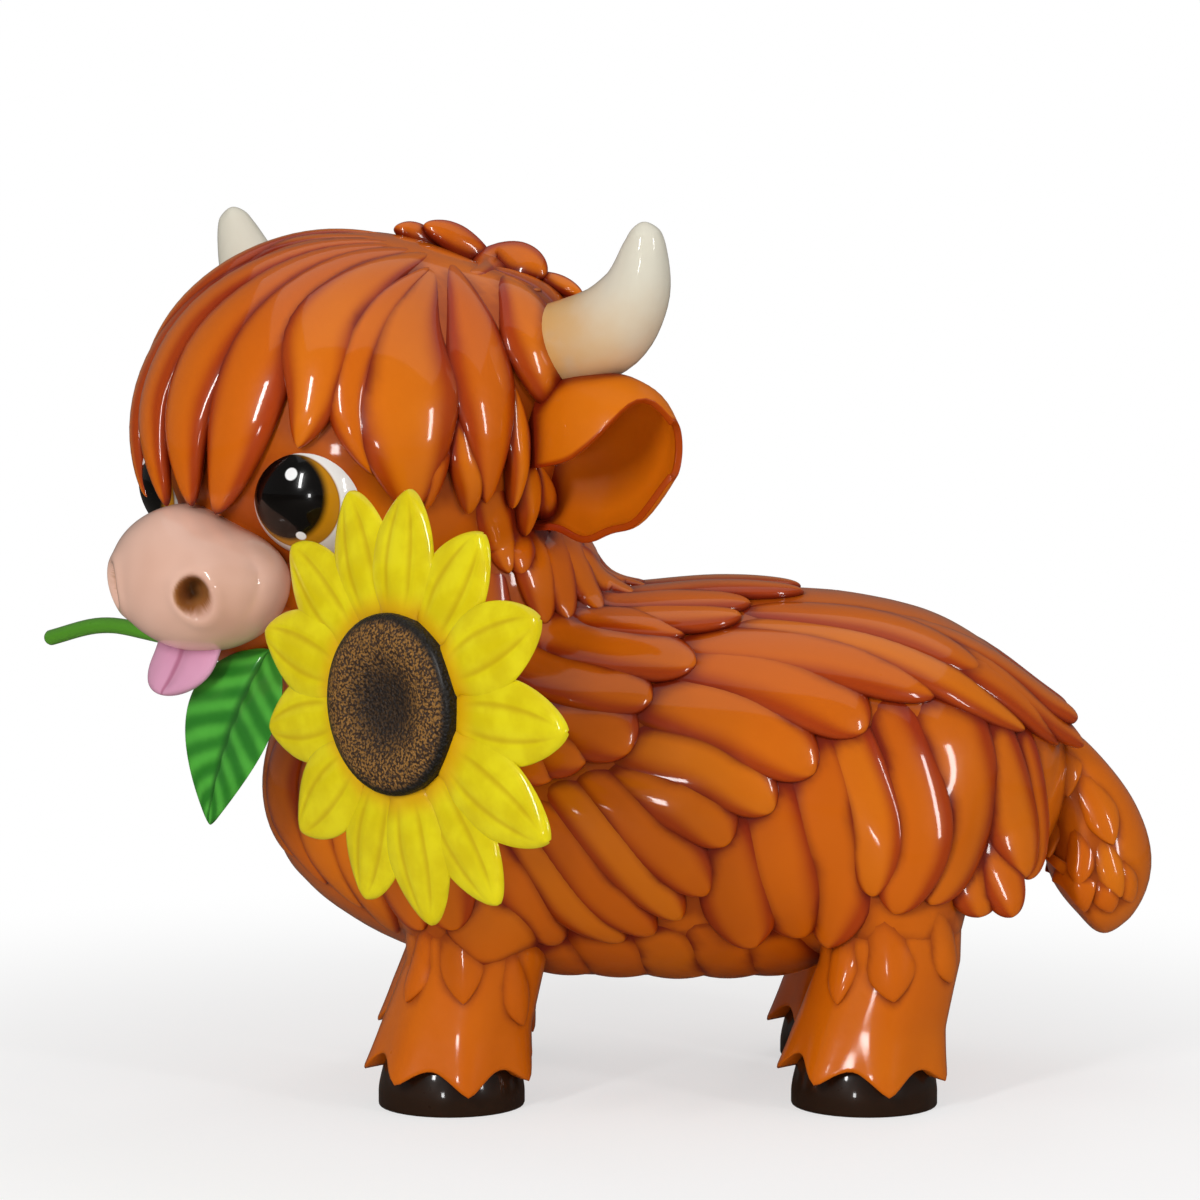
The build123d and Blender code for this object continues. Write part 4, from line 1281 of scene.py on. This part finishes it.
def petalPaint():
    paint = Paint("petal_paint")
    across = paint.attribute("across")
    along = paint.attribute("along")
    cloud = paint.noise(30.0)
    groove = (across * across - 0.145).math("ABSOLUTE")
    base = paint.mix(petalColours["middle"], petalColours["light"], paint.ramp(cloud, 0.35, 0.7))
    base = paint.mix(base, petalColours["root"], (1.0 - paint.ramp(along, 0.09, 0.3)) * 0.7)
    line = (1.0 - paint.ramp(groove, 0.0, 0.09)) * paint.ramp(along, 0.1, 0.35)
    line = line * (1.0 - paint.ramp(along, 0.75, 0.97))
    base = paint.mix(base, petalColours["line"], line * 0.45)
    # Painted shade where the petals meet the seed head and each other
    base = paint.mix(base, petalColours["creaseShade"], paint.ramp(paint.attribute("creaseShade"), 0.3, 0.9) * 0.8)
    return paint.finish(Base_Color=base, **dict(gloss, Roughness=0.34 + cloud * 0.1),
                        Normal=paint.bump(paint.noise(45.0), 0.0008, 0.4))


seedColours = {"dark": tint(32, 18, 9), "ring": tint(60, 36, 14), "speck": tint(178, 124, 46),
               "edge": tint(20, 12, 7)}


def seedPaint():
    paint = Paint("seed_paint")
    along = paint.attribute("along")
    fine = paint.node("ShaderNodeTexVoronoi", {}, {"Vector": paint.place(), "Scale": 330.0}, "Distance")
    speck = paint.ramp(paint.noise(420.0, 4.0), 0.46, 0.58)
    ring = paint.ramp(along, 0.14, 0.34) * (1.0 - paint.ramp(along, 0.42, 0.5))
    base = paint.mix(seedColours["dark"], seedColours["ring"], ring)
    base = paint.mix(base, seedColours["speck"], speck * (0.1 + ring * 0.62))
    base = paint.mix(base, seedColours["edge"], paint.ramp(along, 0.45, 0.51))
    return paint.finish(Base_Color=base, Roughness=0.5 + fine * 0.2, Coat_Weight=0.15, Coat_Roughness=0.25,
                        Normal=paint.bump(paint.noise(240.0, 6.0) + fine * 0.5, 0.004, 0.9))


leafColours = {"deep": tint(42, 122, 34), "light": tint(84, 178, 62), "vein": tint(34, 88, 30)}


def leafPaint():
    paint = Paint("leaf_paint")
    aside = paint.attribute("across").math("ABSOLUTE")
    along = paint.attribute("along")
    cloud = paint.noise(25.0)
    ribs = ((along * leaf["ribs"] - aside * leaf["ribSlant"]) * (2 * math.pi)).math("SINE")
    # Lighter along the ribs as a painted highlight, and in random cloud
    lightness = paint.ramp(ribs * 0.3 + cloud * 0.7, 0.0, 0.9)
    base = paint.mix(leafColours["deep"], leafColours["light"], lightness)
    base = paint.mix(base, leafColours["vein"], (1.0 - paint.ramp(aside, 0.0, 0.12)) * 0.8)
    return paint.finish(Base_Color=base, **dict(gloss, Roughness=0.28 + cloud * 0.08))


steelColours = {"dark": tint(120, 120, 122), "light": tint(150, 150, 152)}


def steelPaint():
    paint = Paint("frame_steel")
    cloud = paint.noise(40.0)
    base = paint.mix(steelColours["dark"], steelColours["light"], cloud)
    return paint.finish(Base_Color=base, Metallic=1.0, Roughness=0.35 + cloud * 0.15)


eyeColours = {"white": tint(236, 234, 230), "dark": tint(8, 6, 5), "amber": tint(190, 128, 16),
              "dot": tint(245, 245, 245)}
# Softness of the painted edges, in degrees
eyeSoft = {"edge": 0.6, "amber": 2.0, "pupil": 4.0}


# The head's own axes in the statue's frame
def headTurn():
    return headPlace(np.eye(3)) - headPlace(np.zeros((1, 3)))


# Direction, in the head's frame, from the middle of the left eye to the place seen at a pixel
def eyeWay(pixel):
    eyePoint, way = sight(pixel)
    middle = headPlace(eyeMiddle(bothSides["left"])[None])[0]
    near = way @ (middle - eyePoint)
    miss = eyePoint + way * near - middle
    depth = math.sqrt(max(eye["radius"] ** 2 - miss @ miss, 0.0))
    return unit(miss - way * depth) @ headTurn().T


# Painted eye: discs about directions from the middle of the ball
def eyePaint(name, side):
    paint = Paint(name)
    turned = headTurn()
    middle = (headPlace(eyeMiddle(side)[None]) + ground)[0] * mm
    sockets = {0: paint.place(), 1: tuple(middle)}
    centred = paint.node("ShaderNodeVectorMath", {"operation": "SUBTRACT"}, sockets)
    way = paint.node("ShaderNodeVectorMath", {"operation": "NORMALIZE"}, {0: centred})

    def disc(away, name, soft=eyeSoft["edge"]):
        degrees = eyeDiscs[name][1]
        far, near = (math.cos(math.radians(degrees + edge)) for edge in (soft, -soft))
        sockets = {0: way, 1: tuple(away @ turned)}
        value = paint.node("ShaderNodeVectorMath", {"operation": "DOT_PRODUCT"}, sockets, "Value")
        return paint.ramp(value, far, near)

    ways = {name: eyeWay(pixel) for name, (pixel, size) in eyeDiscs.items()}
    iris = ways["iris"] * np.array([1.0, side, 1.0])
    pupil = unit(iris + ways["pupil"] - ways["iris"])
    colour = paint.mix(eyeColours["white"], eyeColours["dark"], disc(iris, "iris"))
    amber = disc(iris, "iris", eyeSoft["amber"]) * (1.0 - disc(pupil, "pupil", eyeSoft["pupil"]))
    colour = paint.mix(colour, eyeColours["amber"], amber)
    # Two small white discs: painted highlights
    for name in ("upperHighlight", "lowerHighlight"):
        dot = disc(unit(iris + ways[name] - ways["iris"]), name)
        colour = paint.mix(colour, eyeColours["dot"], dot)
    return paint.finish(Base_Color=colour, Roughness=0.2, Specular_IOR_Level=0.15, Coat_Weight=0.6,
                        Coat_Roughness=0.03)


# Soft dark shade where forms meet, as an airbrush leaves it

# Rays spread over most of the half ball above each vertex, each turned on from the last one
creaseShadeLook = {"reach": 28.0, "rays": 14, "start": 0.8, "softening": 2, "opening": 0.85, "turn": 2.39996,
              "fade": 0.7}


# Values averaged with those of the neighbouring vertices
def softened(mesh, values):
    ends = np.empty(len(mesh.edges) * 2, dtype=np.int64)
    mesh.edges.foreach_get("vertices", ends)
    first, second = ends[0::2], ends[1::2]
    count = np.bincount(ends, minlength=len(values))
    for turn in range(creaseShadeLook["softening"]):
        total = np.bincount(first, values[second], len(values))
        total = total + np.bincount(second, values[first], len(values))
        values = (values + total) / (1 + count)
    return values


# How hidden each vertex is among nearby forms, which the paints turn into painted shade
def markCreaseShade(pieces):
    corners, faces = [], []
    for piece in pieces:
        first = len(corners)
        corners.extend(v.co.copy() for v in piece.data.vertices)
        faces.extend([first + i for i in poly.vertices] for poly in piece.data.polygons)
    tree = BVHTree.FromPolygons(corners, faces)
    reach = creaseShadeLook["reach"] * mm
    ways = []
    for k in range(creaseShadeLook["rays"]):
        height = 1 - (k + 0.5) / creaseShadeLook["rays"] * creaseShadeLook["opening"]
        turn = k * creaseShadeLook["turn"]
        flat = math.sqrt(1 - height * height)
        ways.append((flat * math.cos(turn), flat * math.sin(turn), height))
    for piece in pieces:
        values = []
        for vertex in piece.data.vertices:
            out = vertex.normal
            side = out.orthogonal().normalized()
            other = out.cross(side)
            origin = vertex.co + out * (creaseShadeLook["start"] * mm)
            hidden = 0.0
            for a, b, c in ways:
                spot, normal, index, distance = tree.ray_cast(origin, side * a + other * b + out * c, reach)
                if spot is not None:
                    hidden += 1 - creaseShadeLook["fade"] * distance / reach
            values.append(hidden / len(ways))
        setAttribute(piece.data, "creaseShade", softened(piece.data, np.array(values)))


# Build

coat = coatPaint()
skin = makeSkin()
skinTree = treeOf(skin)
skull = makeSkull()
for name, side in bothSides.items():
    dress(f"body_{name}", makeBodyHalf(skin, skinTree, treeOf(skull, side), side), "coat_paint", coat)
hoofMaterial = plainPaint("hoof_paint", hoofLook)
for end in ("front", "rear"):
    for name, side in bothSides.items():
        dress(f"{end}_{name}_leg", makeLeg(end, side, skinTree), "coat_paint", coat)
        dress(f"{end}_{name}_hoof", [makeHoof(end, side)], "hoof_paint", hoofMaterial)
dress("tail", makeTail(), "coat_paint", coat)
bpy.data.objects.remove(skin)
bpy.data.objects.remove(skull)
print("stage: body, legs and tail")

dress("head", makeHead(), "coat_paint", coat)
nose = markNostrils(formed("muzzle", muzzle["mesh"], muzzleShape, place=headPlace))
dress("muzzle", [nose], "muzzle_paint", muzzlePaint())
tonguePiece = formed("tongue", tongue["mesh"], tongueShape, place=headPlace)
dress("tongue", [tonguePiece], "tongue_paint", tonguePaint())
hornMaterial = hornPaint()
for name, side in bothSides.items():
    dress(f"{name}_eye", [makeEye(side)], "eye_gloss", eyePaint(f"{name}_eye_gloss", side))
    dress(f"{name}_horn", [makeHorn(side)], "horn_paint", hornMaterial)
    dress(f"{name}_ear", [makeEar(side)], "coat_paint", coat)
print("stage: head")

dress("petal_ring", makePetals(), "petal_paint", petalPaint())
dress("seed_head", [formed("seed", seed["mesh"], seedShape, place=flowerPlace)], "seed_paint", seedPaint())
dress("leaf", [formed("leaf", leaf["mesh"], leafShape, place=headPlace)], "leaf_paint", leafPaint())
stemMaterial = plainPaint("stem_paint", stemLook)
stemWay = stemPath()
dress("flower_stem", [makeStem("stem", stemWay, stem["radius"], stem["mesh"])], "leaf_paint", stemMaterial)
rodWay = insetPath(stemWay, stem["rodInset"])
rod = makeStem("rod", rodWay, stem["rodRadius"], stem["rodMesh"])
dress("stem_core_rod", [rod], "frame_steel", steelPaint())
calyxPiece = formed("calyx", calyx["mesh"], calyxShape, place=flowerPlace)
dress("flower_calyx", [calyxPiece], "leaf_paint", stemMaterial)
print("stage: flower")
markCreaseShade(dressed)
print("stage: creases")

# Studio

studio = {"sensor": 36.0, "floor": 30.0, "lightAim": 420.0, "white": (1.0, 1.0, 1.0, 1.0)}
# Floor as lights, glossy rays and the camera meet it, and its glow near the statue and farther out
floorLook = {"lit": (0.85, 0.83, 0.8, 1.0), "glossy": (0.12, 0.11, 0.1, 1.0), "seen": (0.97, 0.97, 0.97, 1.0),
             "glow": 0.6, "farGlow": 0.4, "glowRange": (0.5, 1.4)}
# Brightness of the room, what the camera sees more of it and glossy rays less
skyLevel = {"all": 0.3, "camera": 0.7, "glossy": 0.18}
lights = [
    {"name": "key", "place": (-1700.0, -3000.0, 1900.0), "size": (300.0, 1500.0), "power": 57.0},
    {"name": "low", "place": (-800.0, -3300.0, 450.0), "size": (240.0, 320.0), "power": 6.5},
    {"name": "fill", "place": (2900.0, -2500.0, 1500.0), "size": (300.0, 1500.0), "power": 34.0},
    {"name": "back", "place": (1500.0, 2600.0, 1900.0), "size": (900.0, 900.0), "power": 14.0},
    {"name": "top", "place": (200.0, 0.0, 2600.0), "size": (2800.0, 3400.0), "power": 16.0},
]


# Camera or lamp at a place of the statue's frame, aimed at a height over the ground point
def hang(name, data, place, aimHeight):
    holder = newObject(name, data)
    spot, aim = (Vector((np.array(point) + ground) * mm) for point in (place, (0.0, 0.0, aimHeight)))
    holder.location = spot
    holder.rotation_euler = (aim - spot).to_track_quat("-Z", "Y").to_euler()
    return holder


cameraData = bpy.data.cameras.new("photo camera")
cameraData.lens = view["focal"] / (2 * view["middle"]) * studio["sensor"]
cameraData.sensor_width = studio["sensor"]
eyePlace = (0.0, -view["back"], view["height"])
bpy.context.scene.camera = hang("photo camera", cameraData, eyePlace, view["aimHeight"])

bpy.ops.mesh.primitive_plane_add(size=studio["floor"], location=(0, 0, 0))
floor = bpy.context.object
floor.name = "floor"
floorPaint = Paint("floor_paint")
glow = floorPaint.node("ShaderNodeEmission", {}, {"Color": studio["white"], "Strength": 1.0})
seenFloor = floorPaint.node("ShaderNodeLightPath", {}, {}, "Is Camera Ray")
mirrored = floorPaint.node("ShaderNodeLightPath", {}, {}, "Is Glossy Ray")
floorColour = floorPaint.mix(floorLook["lit"], floorLook["glossy"], mirrored)
floorColour = floorPaint.mix(floorColour, floorLook["seen"], seenFloor)
floorPaint.finish(Base_Color=floorColour, Roughness=0.9, Specular_IOR_Level=0.0)
away = floorPaint.node("ShaderNodeVectorMath", {"operation": "LENGTH"}, {0: floorPaint.place()}, "Value")
glowShare = floorLook["glow"] + floorPaint.ramp(away, *floorLook["glowRange"]) * floorLook["farGlow"]
blendOut = floorPaint.node("ShaderNodeMixShader", {}, {0: seenFloor * glowShare, 2: glow})
floorPaint.tree.links.new(floorPaint.shader.outputs[0], blendOut.socket.node.inputs[1])
floorPaint.tree.links.new(blendOut.socket, floorPaint.tree.nodes["Material Output"].inputs[0])
floor.data.materials.append(floorPaint.material)

for entry in lights:
    lamp = bpy.data.lights.new(entry["name"], "AREA")
    lamp.shape = "RECTANGLE"
    lamp.size, lamp.size_y = (length * mm for length in entry["size"])
    lamp.energy = entry["power"]
    holder = hang(entry["name"], lamp, entry["place"], studio["lightAim"])
    holder.visible_glossy = entry["name"] != "back"

world = bpy.data.worlds.new("studio")
bpy.context.scene.world = world
world.use_nodes = True
air = world.node_tree
sky = air.nodes["Background"]
sky.inputs["Color"].default_value = studio["white"]
rays = air.nodes.new("ShaderNodeLightPath")
cameraRay, glossyRay = (Wire(air, rays.outputs[f"Is {kind} Ray"]) for kind in ("Camera", "Glossy"))
brightness = cameraRay * skyLevel["camera"] + skyLevel["all"] - glossyRay * skyLevel["glossy"]
feed(air, sky.inputs["Strength"], brightness)
bpy.context.scene.view_settings.view_transform = "Standard"
print("stage: studio")
